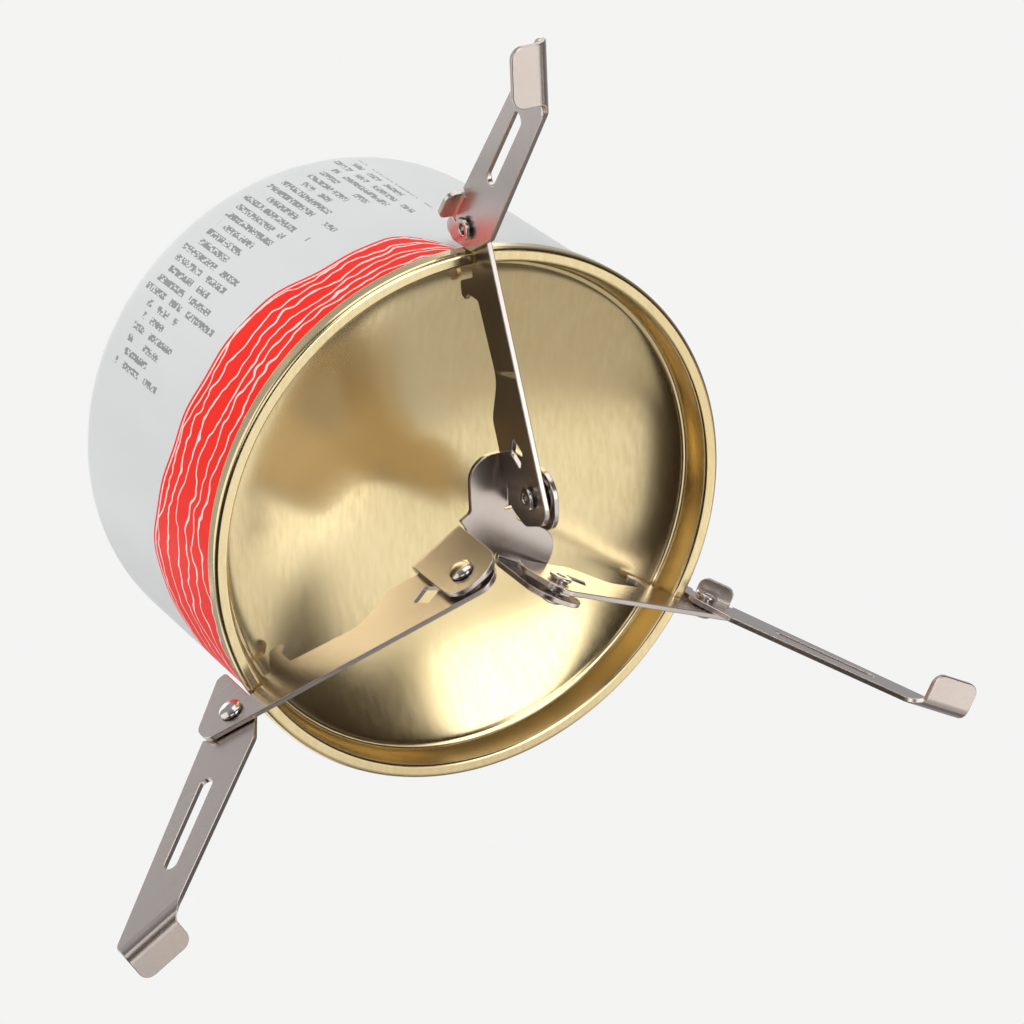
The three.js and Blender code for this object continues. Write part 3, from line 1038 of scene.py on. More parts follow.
@dataclass(frozen=True)
class Moulded:
    """Moulded rubber or plastic with a fine spark texture.

    Attributes:
        name: name of the material.
        colour: colour of the piece.
        roughness: middle roughness.
        grain: spark marks per metre.
        depth: strength of the marks.
    """

    name: str
    colour: Colour
    roughness: float
    grain: float = 2600.0
    depth: float = 0.2

    def build(self) -> bpy.types.Material:
        """Spark marks are quick noise; dust and handling are slow noise on colour and gloss."""
        g = Graph(self.name)
        places = g.places()
        spark = g.noise(places, self.grain, 3.0, 0.6)
        slow = g.noise(places, 300.0, 3.0)
        worn = tuple(min(1.0, c * 1.25 + 0.01) for c in self.colour)
        colour = g.mix(g.band(slow, 0.4, 0.7), self.colour, worn)
        rough = g.line(slow, 0.16, self.roughness - 0.08)
        normal = g.bump(spark, self.depth, 0.00002)
        return g.finished(Base_Color=colour, Roughness=rough, Normal=normal)


class Finishes:
    """Every finish, built once and looked up by its slot."""

    def __init__(self) -> None:
        """Builds the materials."""
        self.by_slot: dict[Slot, bpy.types.Material] = {
            Slot.PRINT: CanPrint().build(),
            Slot.LACQUER: GoldLacquer().build(),
            Slot.TINPLATE: TurnedMetal("pressed_tinplate", (0.66, 0.64, 0.60), 0.26).build(),
            Slot.BRASS: TurnedMetal("turned_brass", (0.74, 0.60, 0.32), 0.28, 9000.0).build(),
            Slot.RUBBER: Moulded("seal_rubber", (0.020, 0.020, 0.021), 0.7).build(),
            Slot.PLASTIC: Moulded("valve_plastic", (0.80, 0.78, 0.71), 0.42, 1800.0, 0.08).build(),
            Slot.SPRING: DrawnWire().build(),
            Slot.STAINLESS: SatinSheet().build(),
            Slot.RIVET: TurnedMetal("rivet_steel", (0.70, 0.66, 0.63), 0.13, 7000.0, 0.06).build(),
        }

    def dress(self, piece: bpy.types.Object, slot: Slot) -> None:
        """Gives a piece its slot's finish and nothing else."""
        piece.data.materials.clear()
        piece.data.materials.append(self.by_slot[slot])


# ------------------------------------------------------------------------------ sub-assemblies


class SubAssembly:
    """Shared way of placing, dressing and logging pieces."""

    def __init__(self, finishes: Finishes) -> None:
        """Keeps the finishes to dress pieces with."""
        self.finishes = finishes

    def place(
        self, surface: Surface, name: str, body: str, slot: Slot, *nodes: str
    ) -> bpy.types.Object:
        """Makes a piece of a surface, on a body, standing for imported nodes.

        Args:
            surface: the closed surface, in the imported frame.
            name: name of the piece.
            body: body that the piece moves with.
            slot: material slot of its finish.
            nodes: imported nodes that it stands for.

        Returns:
            The new piece.
        """
        piece = surface.to_object(name)
        self.finishes.dress(piece, slot)
        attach(piece, body)
        if nodes:
            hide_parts(*nodes)
        log.info("%s: %d faces on %s", name, len(piece.data.polygons), body)
        return piece


@dataclass(frozen=True)
class CanSizes:
    """Sizes of the canister's body and bottom end, in millimetres above the seam's underside."""

    seam_radius: float = 55.0
    seam_inner: float = 52.1
    seam_height: float = 3.2
    wall_radius: float = 53.75
    wall: float = 0.6
    body_foot: float = 0.8
    wall_top: float = 62.4
    shoulder_rise: float = 16.0
    neck_radius: float = 13.0
    end_plate: float = 0.5
    gap: float = 0.3
    sink_radius: float = 51.2
    sink_top: float = 5.6
    dome_radius: float = 50.0
    dome_rise: float = 9.0
    dome_power: float = 1.6
    edge: float = 0.12


class CanBody(SubAssembly):
    """Drawn and printed body with its pressed bottom end."""

    def __init__(self, finishes: Finishes, sizes: CanSizes) -> None:
        """Finds the seam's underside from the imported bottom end."""
        super().__init__(finishes)
        self.sizes = sizes
        self.seam_z = low_high("base_end")[0][2]

    def build(self) -> None:
        """Makes both pieces."""
        for outline, step, segments, name, slot, node in (
            (self._body(), 1.5, 256, "can_body_printed", Slot.PRINT, "can_body"),
            (self._end(), 1.2, 288, "can_bottom_end", Slot.LACQUER, "base_end"),
        ):
            surface = revolve(outline.denser(step), segments).raised(self.seam_z)
            self.place(surface, name, "canister", slot, node)

    def _shoulder(self, inset: float, steps: int = 40) -> list[Corner]:
        """Quarter of an ellipse from the wall to the neck."""
        s = self.sizes
        angle = np.linspace(0, math.pi / 2, steps + 1)
        radius = s.neck_radius + (s.wall_radius - inset - s.neck_radius) * np.cos(angle)
        height = s.wall_top + (s.shoulder_rise - inset) * np.sin(angle)
        return [(r, z, 0.0) for r, z in zip(radius.tolist(), height.tolist())]

    def _body(self) -> Outline:
        """Wall and shoulder, with the raw edge hidden in the seam."""
        s = self.sizes
        inner = s.wall_radius - s.wall
        outside, inside_wall = self._shoulder(0.0), self._shoulder(s.wall)[::-1]
        outside[-1] = (*outside[-1][:2], s.edge)
        inside_wall[0] = (*inside_wall[0][:2], s.edge)
        return rounded([
            (s.wall_radius, s.body_foot, s.edge),
            *outside,
            *inside_wall,
            (inner, s.body_foot, s.edge),
        ], 5)

    def _dome(self, lift: float, steps: int = 56) -> list[Corner]:
        """Inward dome: rise is a power of the cosine of the angle whose sine gives the radius."""
        s = self.sizes
        angle = np.linspace(0, math.pi / 2, steps + 1)
        radius = s.dome_radius * np.sin(angle)
        rise = s.dome_rise * np.cos(angle) ** s.dome_power
        return [(r, s.sink_top + lift + z, 0.0) for r, z in zip(radius.tolist(), rise.tolist())]

    def _end(self) -> Outline:
        """Dome, countersink wall and the seam round the body's edge, in one pressing."""
        s = self.sizes
        inner, outer = s.wall_radius - s.wall - s.gap, s.wall_radius + s.gap
        under, over = self._dome(0.0), self._dome(s.end_plate)[::-1]
        return rounded([
            *under[:-1],
            (s.sink_radius - 0.35, s.sink_top - 0.15, 0.6),
            (s.seam_inner, 0.0, 0.85),
            (s.seam_radius, 0.0, 0.95),
            (s.seam_radius, s.seam_height, 0.35),
            (outer, s.seam_height, 0.1),
            (outer, s.end_plate, 0.1),
            (inner, s.end_plate, 0.1),
            (s.sink_radius + 0.25, s.sink_top + 0.35, 0.3),
            *over[1:],
        ], 7, closed=False)


@dataclass(frozen=True)
class ValveSizes:
    """Sizes of the valve, in millimetres, with heights above the neck.

    Attributes:
        cup_seal: inner radius, outer radius, lowest and highest height.
        stem_seal: the same.
        fade: height over which the thread runs out at its lower and at its upper end.
        stem_flange: radius, lowest and highest height.
    """

    edge: float = 0.12
    rim_radius: float = 15.8
    rim_low: float = 1.05
    rim_high: float = 2.25
    well_radius: float = 12.4
    well_depth: float = 3.6
    plate: float = 0.5
    boss_radius: float = 6.8
    boss_rise: float = 3.6
    bore: float = 3.6
    thread_radius: float = 5.55
    thread_depth: float = 0.5
    thread_pitch: float = 0.907
    thread_turns: float = 7.0
    fade: tuple[float, float] = (0.4, 0.5)
    collar_step: float = 0.09
    collar_low: float = 3.9
    collar_top: float = 12.0
    flange_radius: float = 6.3
    flange: float = 0.9
    lip_radius: float = 2.1
    lip: float = 0.7
    cup_seal: tuple[float, ...] = (13.3, 15.2, 0.3, 0.75)
    stem_seal: tuple[float, ...] = (1.8, 3.3, 9.7, 11.0)
    pin_radius: float = 1.5
    pin_top: float = 11.2
    tail_radius: float = 0.9
    stem_flange: tuple[float, float, float] = (2.6, 2.6, 3.5)
    housing_radius: float = 5.9
    housing_bore: float = 3.2
    housing_foot: float = -6.0
    housing_floor: float = 1.2
    inlet: float = 0.8
    spring_radius: float = 2.2
    spring_wire: float = 0.3
    spring_turns: float = 5.0


class ScrewValve(SubAssembly):
    """Mounting cup, threaded collar and the valve's inner pieces."""

    def __init__(self, finishes: Finishes, sizes: ValveSizes) -> None:
        """Finds the neck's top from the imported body."""
        super().__init__(finishes)
        self.sizes = sizes
        self.neck_z = low_high("can_body")[1][2]

    def build(self) -> None:
        """Makes the valve's pieces."""
        s = self.sizes
        for name, slot, node, profile in (
            ("valve_cup_pressed", Slot.TINPLATE, "valve_cup", self._cup()),
            ("valve_cup_seal", Slot.RUBBER, "cup_seal", self._ring(*s.cup_seal)),
            ("valve_stem_seal", Slot.RUBBER, "stem_seal", self._ring(*s.stem_seal)),
            ("valve_housing_cup", Slot.PLASTIC, "valve_housing", self._housing()),
            ("valve_stem_plunger", Slot.PLASTIC, "valve_stem", self._stem()),
        ):
            body = "valve_plunger" if node == "valve_stem" else "canister"
            segments = 160 if node == "valve_cup" else 96
            surface = revolve(profile.denser(0.8), segments).raised(self.neck_z)
            self.place(surface, name, body, slot, node)
        collar = revolve(self._collar().denser(s.collar_step), 192, self._thread)
        self.place(
            collar.raised(self.neck_z),
            "threaded_collar_turned", "canister", Slot.BRASS, "threaded_collar",
        )
        self._spring()

    def _spring(self) -> None:
        """Return spring, wound between the imported spring's lowest and highest points, on a mesh
        of its own.
        """
        s = self.sizes
        low, high = (corner[2] for corner in low_high("valve_spring"))
        wire = s.spring_wire
        coils = coil(s.spring_radius, wire, low + wire, high - wire, s.spring_turns)
        spring = self.place(coils, "valve_return_spring", "canister", Slot.SPRING, "valve_spring")
        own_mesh(spring)

    def _ring(self, inner: float, outer: float, low: float, high: float) -> Outline:
        """Ring of rectangular section with softened corners."""
        around = ((inner, low), (outer, low), (outer, high), (inner, high))
        return rounded([(*corner, self.sizes.edge) for corner in around], 5)

    def _cup(self) -> Outline:
        """Rim on the neck, a well round the middle and a raised boss, in one sheet."""
        s = self.sizes
        floor = -s.well_depth
        inner = s.well_radius - s.plate
        return rounded([
            (s.well_radius, s.rim_low, 0.15),
            (s.rim_radius, s.rim_low, 0.25),
            (s.rim_radius, s.rim_high, 0.85),
            (inner, s.rim_high, 0.7),
            (inner, floor, 0.7),
            (s.boss_radius, floor, 0.6),
            (s.boss_radius, s.boss_rise, 0.7),
            (s.bore, s.boss_rise, s.edge),
            (s.bore, s.boss_rise - s.plate, s.edge),
            (s.boss_radius - s.plate, s.boss_rise - s.plate, 0.3),
            (s.boss_radius - s.plate, floor - s.plate, 0.15),
            (s.well_radius, floor - s.plate, 1.0),
        ], 6)

    def _collar(self) -> Outline:
        """Flange, threaded barrel and the lip over the stem's seal."""
        s = self.sizes
        return rounded([
            (s.bore, s.collar_low, s.edge),
            (s.flange_radius, s.collar_low, 0.15),
            (s.flange_radius, s.collar_low + s.flange, 0.3),
            (s.thread_radius, s.collar_low + s.flange, 0.1),
            (s.thread_radius, s.collar_top, 0.5),
            (s.lip_radius, s.collar_top, 0.2),
            (s.lip_radius, s.collar_top - s.lip, s.edge),
            (s.bore, s.collar_top - s.lip, s.edge),
        ], 7)

    def _thread(self, angle: np.ndarray, height: np.ndarray) -> np.ndarray:
        """Depth of the helical thread.

        The groove is a triangle wave of height minus pitch times turns, cut off flat at its crest
        and root and faded out at both ends; only the barrel's outside, above the flange, has it.

        Args:
            angle: angles round the collar, as a row.
            height: heights above the neck, as a column.

        Returns:
            Change of radius at each height and angle.
        """
        s = self.sizes
        phase = (height - s.thread_pitch * angle / (2 * math.pi)) / s.thread_pitch
        wave = np.abs((phase % 1.0) * 2 - 1)
        groove = np.clip((wave - 0.12) / 0.72, 0, 1)
        low = s.collar_low + 1.2
        high = low + s.thread_pitch * s.thread_turns
        rising = np.clip((height - low) / s.fade[0], 0, 1)
        falling = np.clip((high - height) / s.fade[1], 0, 1)
        radius, level = np.hsplit(self._collar().denser(s.collar_step).points, 2)
        outside = (radius > s.thread_radius - 0.05) & (level > s.collar_low + 1.0)
        return -s.thread_depth * groove * rising * falling * outside

    def _stem(self) -> Outline:
        """Plunger: a slim tail, a flange for the spring and a round-topped pin."""
        s = self.sizes
        flange, low, high = s.stem_flange
        return rounded([
            (0.0, 0.0, 0.0), (s.tail_radius, 0.0, 0.2), (s.tail_radius, low, 0.1),
            (flange, low, 0.15), (flange, high, 0.15), (s.pin_radius, high, 0.2),
            (s.pin_radius, s.pin_top, 0.4), (0.0, s.pin_top, 0.0),
        ], 6, closed=False)

    def _housing(self) -> Outline:
        """Cup that holds the spring, chamfered below, with a small way in at its foot."""
        s = self.sizes
        top, foot = s.boss_rise - s.plate - 0.3, s.housing_foot
        floor = foot + s.housing_floor
        return rounded([
            (s.inlet, foot, 0.15), (s.housing_radius - 1.3, foot, 0.3),
            (s.housing_radius, foot + 1.6, 0.5), (s.housing_radius, top, 0.2),
            (s.housing_bore, top, 0.2), (s.housing_bore, floor, 0.3), (s.inlet, floor, 0.15),
        ], 6)


@dataclass(frozen=True)
class StandSizes:
    """Sizes of the stand's sheet pieces in millimetres, in a leg's frame: outward, sideways, up.

    Attributes:
        azimuths: direction of each leg, in degrees.
        lock_corners: corners of the blade's window, along and across its slope from the pivot.
        slot_corners: corners of the foot's slot before rounding, along and across its slope.
    """

    sheet: float = 1.1
    gap: float = 0.3
    azimuths: tuple[float, ...] = (-90.0, 30.0, 150.0)
    blade_face: float = 3.75
    blade_slope: float = 21.8
    foot_slope: float = -37.6
    wing_end: float = 15.8
    wing_edge: float = -3.8
    ear_face: float = 5.95
    ear_span: tuple[float, float] = (4.2, 16.4)
    ear_bottom: float = -17.6
    ear_bend: float = 1.4
    pad_span: tuple[float, float] = (94.5, 106.1)
    pad_bend: float = 2.05
    pad_reach: float = 5.65
    tab_span: tuple[float, float] = (-2.5, 5.0)
    tab_bend: float = 1.2
    tab_top: float = 5.66
    tab_reach: float = 2.15
    lock_corners: tuple[tuple[float, float], ...] = (
        (5.6, 1.8), (8.6, -0.7), (11.6, 1.8), (8.6, 4.3),
    )
    rivet_hole: float = 1.9
    rivet_bore: float = 1.05
    rivet_body: float = 1.6
    rivet_head: float = 2.5
    rivet_dome: float = 1.1
    rivet_flare: float = 2.3
    washer: float = 0.5
    washer_radius: float = 3.6
    slot_corners: tuple[tuple[float, float], ...] = (
        (15.5, -1.7), (37.2, -1.7), (37.2, 1.1), (15.5, 1.1),
    )
    slot_radius: float = 1.39


def turn_about_z(azimuth: float) -> np.ndarray:
    """Rotation matrix about Z for an azimuth in degrees."""
    a = math.radians(azimuth)
    return np.array([[math.cos(a), -math.sin(a), 0], [math.sin(a), math.cos(a), 0], [0, 0, 1]])


def on_slope(origin: Sequence[float], slope: float) -> Callable[[float, float], tuple]:
    """Plane coordinates of (along, across) on a line through origin at a slope in degrees."""
    a = math.radians(slope)

    def at(along: float, across: float) -> tuple[float, float]:
        """Point at a place along and across the line."""
        return (
            origin[0] + along * math.cos(a) - across * math.sin(a),
            origin[1] + along * math.sin(a) + across * math.cos(a),
        )

    return at


class HubBracket(SubAssembly):
    """Flat web with three wings and an ear folded down from each."""

    def __init__(self, finishes: Finishes, sizes: StandSizes) -> None:
        """Finds the web's height and the legs' pivot from the frame."""
        super().__init__(finishes)
        self.sizes = sizes
        self.middle = low_high("hub_bracket")[1][2] - sizes.sheet / 2
        self.pivot = leg_pivot("arm_fold_1", sizes.azimuths[0])

    def build(self) -> None:
        """Makes the bracket as one bent blank."""
        s = self.sizes
        corners: list[Corner] = []
        holes: list[Outline] = []
        folds: list[Fold] = []
        bend_y = s.ear_face - s.sheet / 2 - s.ear_bend
        drop = s.ear_bend * math.pi / 2 + self.middle - s.ear_bend
        wing = self._wing(bend_y, bend_y + drop - s.ear_bottom)
        for azimuth in s.azimuths:
            turn = turn_about_z(azimuth)[:2, :2]
            corners += [(*(turn @ (x, y)), radius) for x, y, radius in wing]
            pivot = turn @ (self.pivot[0], bend_y + drop - self.pivot[1])
            holes.append(ring(*pivot, s.rivet_hole))
            folds.append(Fold(
                tuple(turn @ (0.0, bend_y)), tuple(turn @ (0.0, 1.0)), s.ear_bend, -1.0,
                (-s.ear_span[1], -s.ear_span[0]),
            ))
        blank = SheetBlank(rounded(corners, 9), holes, s.sheet, folds)
        surface = blank.surface().raised(self.middle)
        self.place(surface, "hub_bracket_bent", "hub", Slot.STAINLESS, "hub_bracket")

    def _wing(self, bend_y: float, y_end: float) -> list[Corner]:
        """Corners of one wing and its ear, with a notch beside the bend.

        Args:
            bend_y: where the bend starts, across the wing.
            y_end: where the flat ear ends.

        Returns:
            (x, y, radius) of each corner in the wing's own frame.
        """
        s = self.sizes
        near, far = s.ear_span
        notch = bend_y - 0.4
        next_edge = (-s.wing_edge - s.ear_face * 0.5) / (math.sqrt(3) / 2)
        return [
            (s.wing_end, s.wing_edge, 5.0),
            (s.wing_end, bend_y - 0.9, 0.5),
            (far, bend_y - 0.2, 0.4),
            (far, y_end, 5.0),
            (near, y_end, 5.0),
            (near, notch, 0.25),
            (near - 0.6, notch, 0.25),
            (near - 0.6, s.ear_face, 0.3),
            (next_edge, s.ear_face, 1.2),
        ]


def leg_pivot(name: str, azimuth: float) -> np.ndarray:
    """Joint's (outward, up) place in a leg's frame, in millimetres."""
    x, _, z = turn_about_z(azimuth).T @ (np.array(joint(name)["pos_m"]) / MM)
    return np.array([x, z])


class Leg(SubAssembly):
    """One arm with its folding foot, rivets and washer."""

    def __init__(self, finishes: Finishes, sizes: StandSizes, number: int) -> None:
        """Finds the leg's pivots and the ground from the frame."""
        super().__init__(finishes)
        self.sizes = sizes
        self.number = number
        self.turn = turn_about_z(sizes.azimuths[number - 1])
        self.hub_pivot = leg_pivot(f"arm_fold_{number}", sizes.azimuths[number - 1])
        self.foot_pivot = leg_pivot(f"foot_fold_{number}", sizes.azimuths[number - 1])
        self.ground = low_high(f"foot_strip_{number}")[0][2]
        self.seam_z = low_high("base_end")[0][2]

    def build(self) -> None:
        """Makes the leg's five pieces."""
        s, n = self.sizes, self.number
        blade_back = s.blade_face - s.sheet
        strip_face = blade_back - s.gap
        arm = f"arm_{n}"
        for blank, face, name, body, node in (
            (self._blade(), s.blade_face, "arm_blade_cut", arm, "arm_blade"),
            (self._strip(strip_face), strip_face, "foot_strip_bent", f"foot_{n}", "foot_strip"),
        ):
            self._upright(blank, face - s.sheet / 2, f"{name}_{n}", body, f"{node}_{n}")
        hub_rivet = self._rivet(s.ear_face, blade_back)
        foot_rivet = self._rivet(s.blade_face, strip_face - s.sheet)
        for profile, pivot, name, body, node in (
            (hub_rivet, self.hub_pivot, "hub_rivet_set", "hub", "hub_rivet"),
            (foot_rivet, self.foot_pivot, "foot_rivet_set", arm, "foot_rivet"),
            (self._washer(), self.hub_pivot, "hub_washer_flat", "hub", "hub_washer"),
        ):
            self._turned(profile, pivot, f"{name}_{n}", body, f"{node}_{n}")

    def _upright(self, blank: SheetBlank, middle: float, name: str, body: str, node: str) -> None:
        """Stands a blank in the leg's upright plane: blank x outward, y up, front clockwise."""
        stand = np.array([[1.0, 0, 0], [0, 0, -1.0], [0, 1.0, 0]])
        surface = blank.surface().moved(self.turn @ stand, self.turn @ (0, middle, 0))
        self.place(surface, name, body, Slot.STAINLESS, node)

    def _turned(self, profile: Outline, pivot: np.ndarray, name: str, body: str, node: str) -> None:
        """Lathes a profile along the leg's sideways axis through a pivot."""
        lay = np.array([[1.0, 0, 0], [0, 0, 1.0], [0, -1.0, 0]])
        surface = revolve(profile.denser(0.35), 64)
        surface = surface.moved(self.turn @ lay, self.turn @ (pivot[0], 0, pivot[1]))
        self.place(surface, name, body, Slot.RIVET, node)

    def _blade(self) -> SheetBlank:
        """Arm: wide at the hub, slender below the dome, two hooks for two sizes of canister."""
        s = self.sizes
        at = on_slope(self.hub_pivot, s.blade_slope)
        seam, notch = 55.3, self.seam_z - 0.4
        outline = rounded([
            (*at(-5.6, -5.2), 4.0), (*at(58.3, -5.2), 2.2), (67.2, 9.0, 2.0), (57.5, 17.5, 1.4),
            (seam, 17.5, 0.9), (seam, notch, 0.3), (51.0, notch, 0.3), (51.0, 8.3, 0.4),
            (49.3, 7.7, 0.6), (46.8, 13.1, 0.9), (44.0, 12.7, 0.5), (43.4, 11.3, 0.4),
            (45.0, 10.0, 0.4), (45.0, 6.0, 0.8), (*at(23.0, 3.6), 7.0), (*at(15.6, 9.2), 4.0),
            (*at(-2.0, 9.2), 2.5), (*at(-5.6, 5.0), 3.0),
        ], 8)
        holes = [
            ring(*self.hub_pivot, s.rivet_hole),
            ring(*self.foot_pivot, s.rivet_hole),
            hole([(*at(*corner), 0.3) for corner in s.lock_corners], 5),
        ]
        return SheetBlank(outline, holes, s.sheet)

    def _strip(self, face: float) -> SheetBlank:
        """Foot: slotted strip with a pad and a finger tab bent to its clockwise side.

        Args:
            face: place of the strip's face along the leg's sideways axis.

        Returns:
            The flat blank, with each bend's length allowed for.
        """
        s = self.sizes
        at = on_slope(self.foot_pivot, s.foot_slope)
        half = s.sheet / 2
        middle = face - half
        pad_z = self.ground + half + s.pad_bend
        pad_end = pad_z - s.pad_bend * math.pi / 2 - (middle - s.pad_bend + s.pad_reach)
        tab_w = s.tab_top - half - s.tab_bend
        tab_end = tab_w + s.tab_bend * math.pi / 2 + middle - s.tab_bend + s.tab_reach
        notch_w, notch = tab_w - 0.4, 0.6
        low, high = s.tab_span
        outline = rounded([
            (55.5, 5.2, 3.0), (60.1, -2.7, 3.0), (s.pad_span[0], self.ground, 1.2),
            (s.pad_span[0], pad_end, 2.4), (s.pad_span[1], pad_end, 2.4),
            (s.pad_span[1], self.ground + 3.7, 2.0),
            (*at(high + notch, 5.47), 0.3), (*at(high + notch, notch_w), 0.25),
            (*at(high, notch_w), 0.25), (*at(high, tab_end), 1.8),
            (*at(low, tab_end), 1.8), (*at(low, notch_w), 0.25),
            (*at(low - notch, notch_w), 0.25), (*at(low - notch, 5.73), 0.3),
            (58.3, 15.0, 2.0), (55.5, 12.8, 2.0),
        ], 8)
        holes = [
            ring(*self.foot_pivot, s.rivet_hole),
            hole([(*at(*corner), s.slot_radius) for corner in s.slot_corners], 12),
        ]
        slope = math.radians(s.foot_slope)
        folds = [
            Fold((0.0, pad_z), (0.0, -1.0), s.pad_bend, 1.0, (88.0, s.pad_span[1])),
            Fold(at(0, tab_w), (-math.sin(slope), math.cos(slope)), s.tab_bend, 1.0, (-high, -low)),
        ]
        return SheetBlank(outline, holes, s.sheet, folds)

    def _rivet(self, head_face: float, flare_face: float) -> Outline:
        """Tubular rivet: domed head beyond one face, flared open end beyond the other.

        Args:
            head_face: face of the pile of sheets that the head lies on.
            flare_face: face on the far side, where the tube is flared.

        Returns:
            (radius, place along the rivet) line from the bore's foot to the head's top.
        """
        s = self.sizes
        head, flare = head_face + s.gap, flare_face - s.gap
        end, top = flare - 0.8, head + s.rivet_dome
        angle = np.linspace(0.28, math.pi / 2, 12).tolist()[:-1]
        dome = [
            (s.rivet_head * math.cos(a), head + s.rivet_dome * math.sin(a), 0.0) for a in angle
        ]
        return rounded([
            (0.0, flare + 1.0, 0.0), (s.rivet_bore, flare + 0.6, 0.2), (s.rivet_bore, end, 0.25),
            (s.rivet_flare, end, 0.35), (s.rivet_flare, flare - 0.1, 0.25),
            (s.rivet_body, flare, 0.1), (s.rivet_body, head, 0.1), (s.rivet_head, head, 0.15),
            *dome, (0.0, top, 0.0),
        ], 6, closed=False)

    def _washer(self) -> Outline:
        """Flat ring between blade and ear."""
        s = self.sizes
        low = s.blade_face + s.gap
        high = low + s.washer
        return rounded([
            (s.rivet_hole, low, 0.1), (s.washer_radius, low, 0.15),
            (s.washer_radius, high, 0.15), (s.rivet_hole, high, 0.1),
        ], 5)


# ------------------------------------------------------------------------------ studio


@dataclass(frozen=True)
class Softbox:
    """A soft area lamp that looks at the object, its width along the frame's X.

    Attributes:
        name: name of the lamp.
        heading: direction from the object to the lamp.
        distance: metres to the lamp.
        size: width and height in metres.
        radiance: brightness of its face.
        colour: colour of its light.
    """

    name: str
    heading: tuple[float, float, float]
    distance: float
    size: tuple[float, float]
    radiance: float
    colour: Colour = (1.0, 0.98, 0.95)

    def build(self, centre: Vector) -> bpy.types.Object:
        """Power is radiance times pi times the face's area."""
        light = bpy.data.lights.new(self.name, "AREA")
        light.shape = "RECTANGLE"
        light.size, light.size_y = self.size
        light.energy = self.radiance * math.pi * self.size[0] * self.size[1]
        light.color = self.colour
        lamp = bpy.data.objects.new(self.name, light)
        way = Vector(self.heading).normalized()
        wide = Vector((1, 0, 0)) - way * way.x
        wide.normalize()
        turn = Matrix((wide, way.cross(wide), way)).transposed().to_4x4()
        lamp.matrix_world = Matrix.Translation(centre + way * self.distance) @ turn
        lamp.visible_camera = False
        bpy.context.scene.collection.objects.link(lamp)
        return lamp


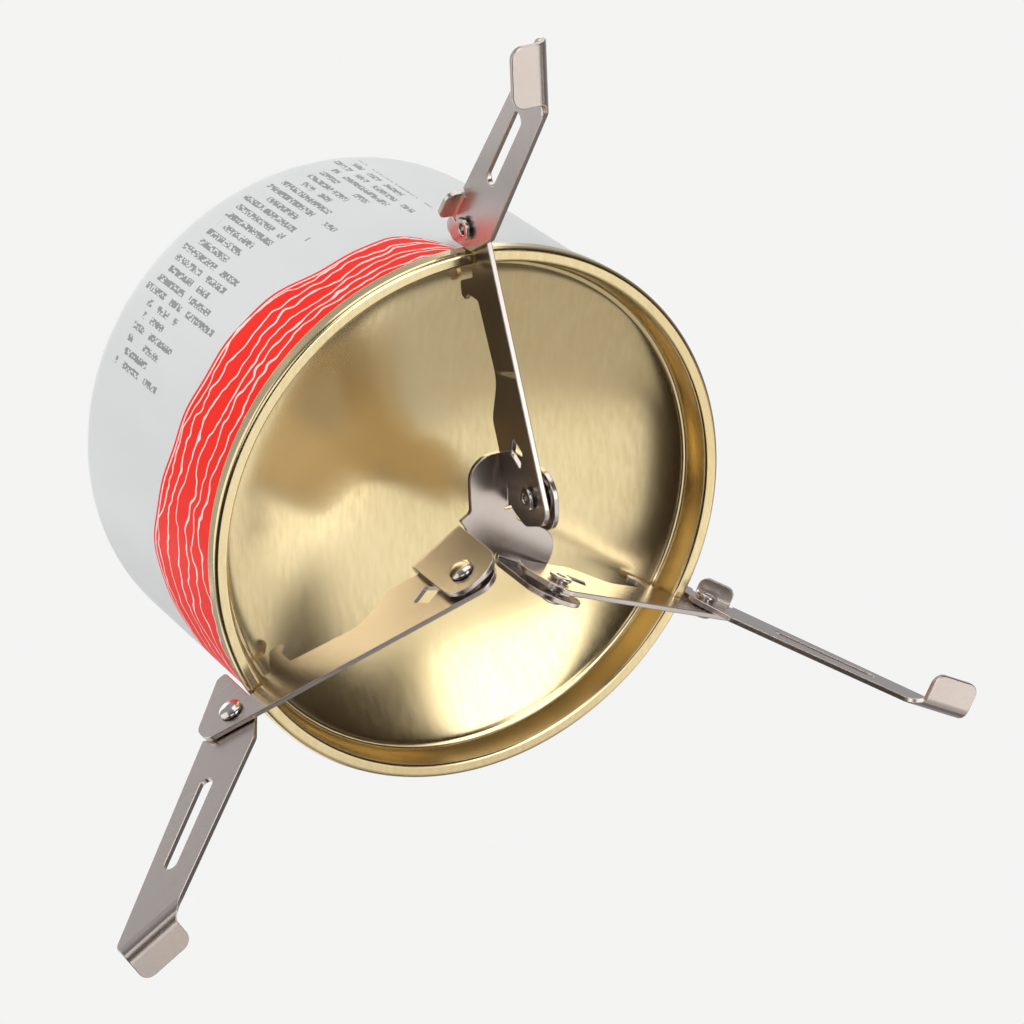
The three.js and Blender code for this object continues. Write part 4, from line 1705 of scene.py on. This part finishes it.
@dataclass(frozen=True)
class Studio:
    """Pale floor, soft lamps, pale surroundings and the camera."""

    lamps: tuple[Softbox, ...] = (
        Softbox("key", (0.26, -0.12, -0.958), 0.9, (0.38, 0.54), 2.8, (1.0, 0.985, 0.96)),
        Softbox("key_wing", (0.02, -0.62, -0.78), 1.0, (0.44, 0.40), 2.2),
        Softbox("cream_side", (0.28, 0.38, -0.88), 0.95, (0.72, 0.34), 1.0, (1.0, 0.98, 0.94)),
        Softbox("far_side", (0.30, 0.74, -0.60), 1.1, (1.15, 0.66), 0.50, (1.0, 0.97, 0.91)),
        Softbox("low_side", (0.72, 0.56, -0.41), 1.1, (0.55, 0.70), 0.85, (1.0, 0.97, 0.91)),
        Softbox("near_side", (-0.62, -0.45, -0.64), 1.0, (0.50, 0.50), 1.3),
        Softbox("left_fill", (-0.95, -0.10, 0.28), 1.25, (1.4, 1.4), 0.88),
        Softbox("front_fill", (0.12, -0.97, 0.12), 1.25, (1.4, 1.2), 1.35),
        Softbox("overhead", (0.10, 0.05, 0.99), 1.2, (1.3, 1.3), 1.2),
        Softbox("rear_fill", (-0.45, 0.85, 0.25), 1.25, (1.2, 1.0), 0.8),
    )
    camera_place: tuple[float, float, float] = (-0.33074, -0.34545, -0.65180)
    camera_right: tuple[float, float, float] = (0.87996571, 0.03852998, -0.47347206)
    camera_up: tuple[float, float, float] = (0.23153978, -0.90508253, 0.35667205)
    lens: float = 147.93

    def build(self) -> None:
        """Sets the stage and the colour transform."""
        low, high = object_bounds()
        centre = (low + high) / 2
        for lamp in self.lamps:
            lamp.build(centre)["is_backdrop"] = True
        self._floor(low.z)
        self._world()
        self._camera()
        settings = bpy.context.scene.view_settings
        settings.view_transform = "Standard"
        settings.look = "None"
        log.info("studio: %d lamps", len(self.lamps))

    def _floor(self, height: float) -> None:
        """Wide floor at the feet, clear from below and left out of shadows and reflections."""
        g = Graph("studio_floor")
        tone = g.noise(g.places(), 9.0, 3.0)
        colour = g.mix(tone, (0.80, 0.80, 0.79), (0.86, 0.86, 0.85))
        cover = g.node("BsdfPrincipled", {"Base Color": colour, "Roughness": 0.8}).outputs[0]
        clear = g.node("BsdfTransparent").outputs[0]
        behind = g.node("NewGeometry").outputs["Backfacing"]
        both = g.node("MixShader", {0: behind, 1: cover, 2: clear}).outputs[0]
        g.tree.links.new(both, g.output.inputs[0])
        mesh = bpy.data.meshes.new("floor")
        reach = 4.0
        corners = [(-reach, -reach), (reach, -reach), (reach, reach), (-reach, reach)]
        mesh.from_pydata([(x, y, height) for x, y in corners], [], [(0, 1, 2, 3)])
        mesh.materials.append(g.material)
        floor = bpy.data.objects.new("floor", mesh)
        bpy.context.scene.collection.objects.link(floor)
        floor.visible_glossy = False
        floor.visible_shadow = False
        floor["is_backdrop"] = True

    def _world(self) -> None:
        """Pale to the camera; to everything else a room that is dim below and brighter above."""
        world = bpy.data.worlds.new("studio")
        bpy.context.scene.world = world
        world.use_nodes = True
        tree = world.node_tree
        tree.nodes.clear()
        out = tree.nodes.new("ShaderNodeOutputWorld")
        seen = tree.nodes.new("ShaderNodeBackground")
        seen.inputs[0].default_value = (0.90, 0.90, 0.895, 1)
        room = tree.nodes.new("ShaderNodeBackground")
        ramp = tree.nodes.new("ShaderNodeValToRGB")
        stops = ramp.color_ramp.elements
        stops[0].position, stops[0].color = 0.25, (0.030, 0.019, 0.011, 1)
        stops[1].position, stops[1].color = 0.75, (0.40, 0.40, 0.41, 1)
        parts = tree.nodes.new("ShaderNodeSeparateXYZ")
        place = tree.nodes.new("ShaderNodeTexCoord")
        half = tree.nodes.new("ShaderNodeMath")
        half.operation = "MULTIPLY_ADD"
        half.inputs[1].default_value = 0.5
        half.inputs[2].default_value = 0.5
        path = tree.nodes.new("ShaderNodeLightPath")
        mix = tree.nodes.new("ShaderNodeMixShader")
        for source, target in (
            (place.outputs["Generated"], parts.inputs[0]),
            (parts.outputs[2], half.inputs[0]),
            (half.outputs[0], ramp.inputs[0]),
            (ramp.outputs[0], room.inputs[0]),
            (path.outputs["Is Camera Ray"], mix.inputs[0]),
            (room.outputs[0], mix.inputs[1]),
            (seen.outputs[0], mix.inputs[2]),
            (mix.outputs[0], out.inputs[0]),
        ):
            tree.links.new(source, target)

    def _camera(self) -> None:
        """Camera placed by its right and up directions."""
        data = bpy.data.cameras.new("camera")
        data.lens = self.lens
        data.sensor_width = 36.0
        data.clip_start, data.clip_end = 0.05, 50.0
        camera = bpy.data.objects.new("camera", data)
        right, up = Vector(self.camera_right), Vector(self.camera_up)
        back = right.cross(up)
        turn = Matrix((right, up, back)).transposed().to_4x4()
        camera.matrix_world = Matrix.Translation(self.camera_place) @ turn
        bpy.context.scene.collection.objects.link(camera)
        bpy.context.scene.camera = camera


# ------------------------------------------------------------------------------ main


def main() -> None:
    """Builds every piece in order, then the studio."""
    logging.basicConfig(level=logging.INFO, format="%(name)s %(message)s")
    finishes = Finishes()
    CanBody(finishes, CanSizes()).build()
    ScrewValve(finishes, ValveSizes()).build()
    stand = StandSizes()
    HubBracket(finishes, stand).build()
    for number in range(1, len(stand.azimuths) + 1):
        Leg(finishes, stand, number).build()
    Studio().build()


if __name__ == "__main__":
    main()
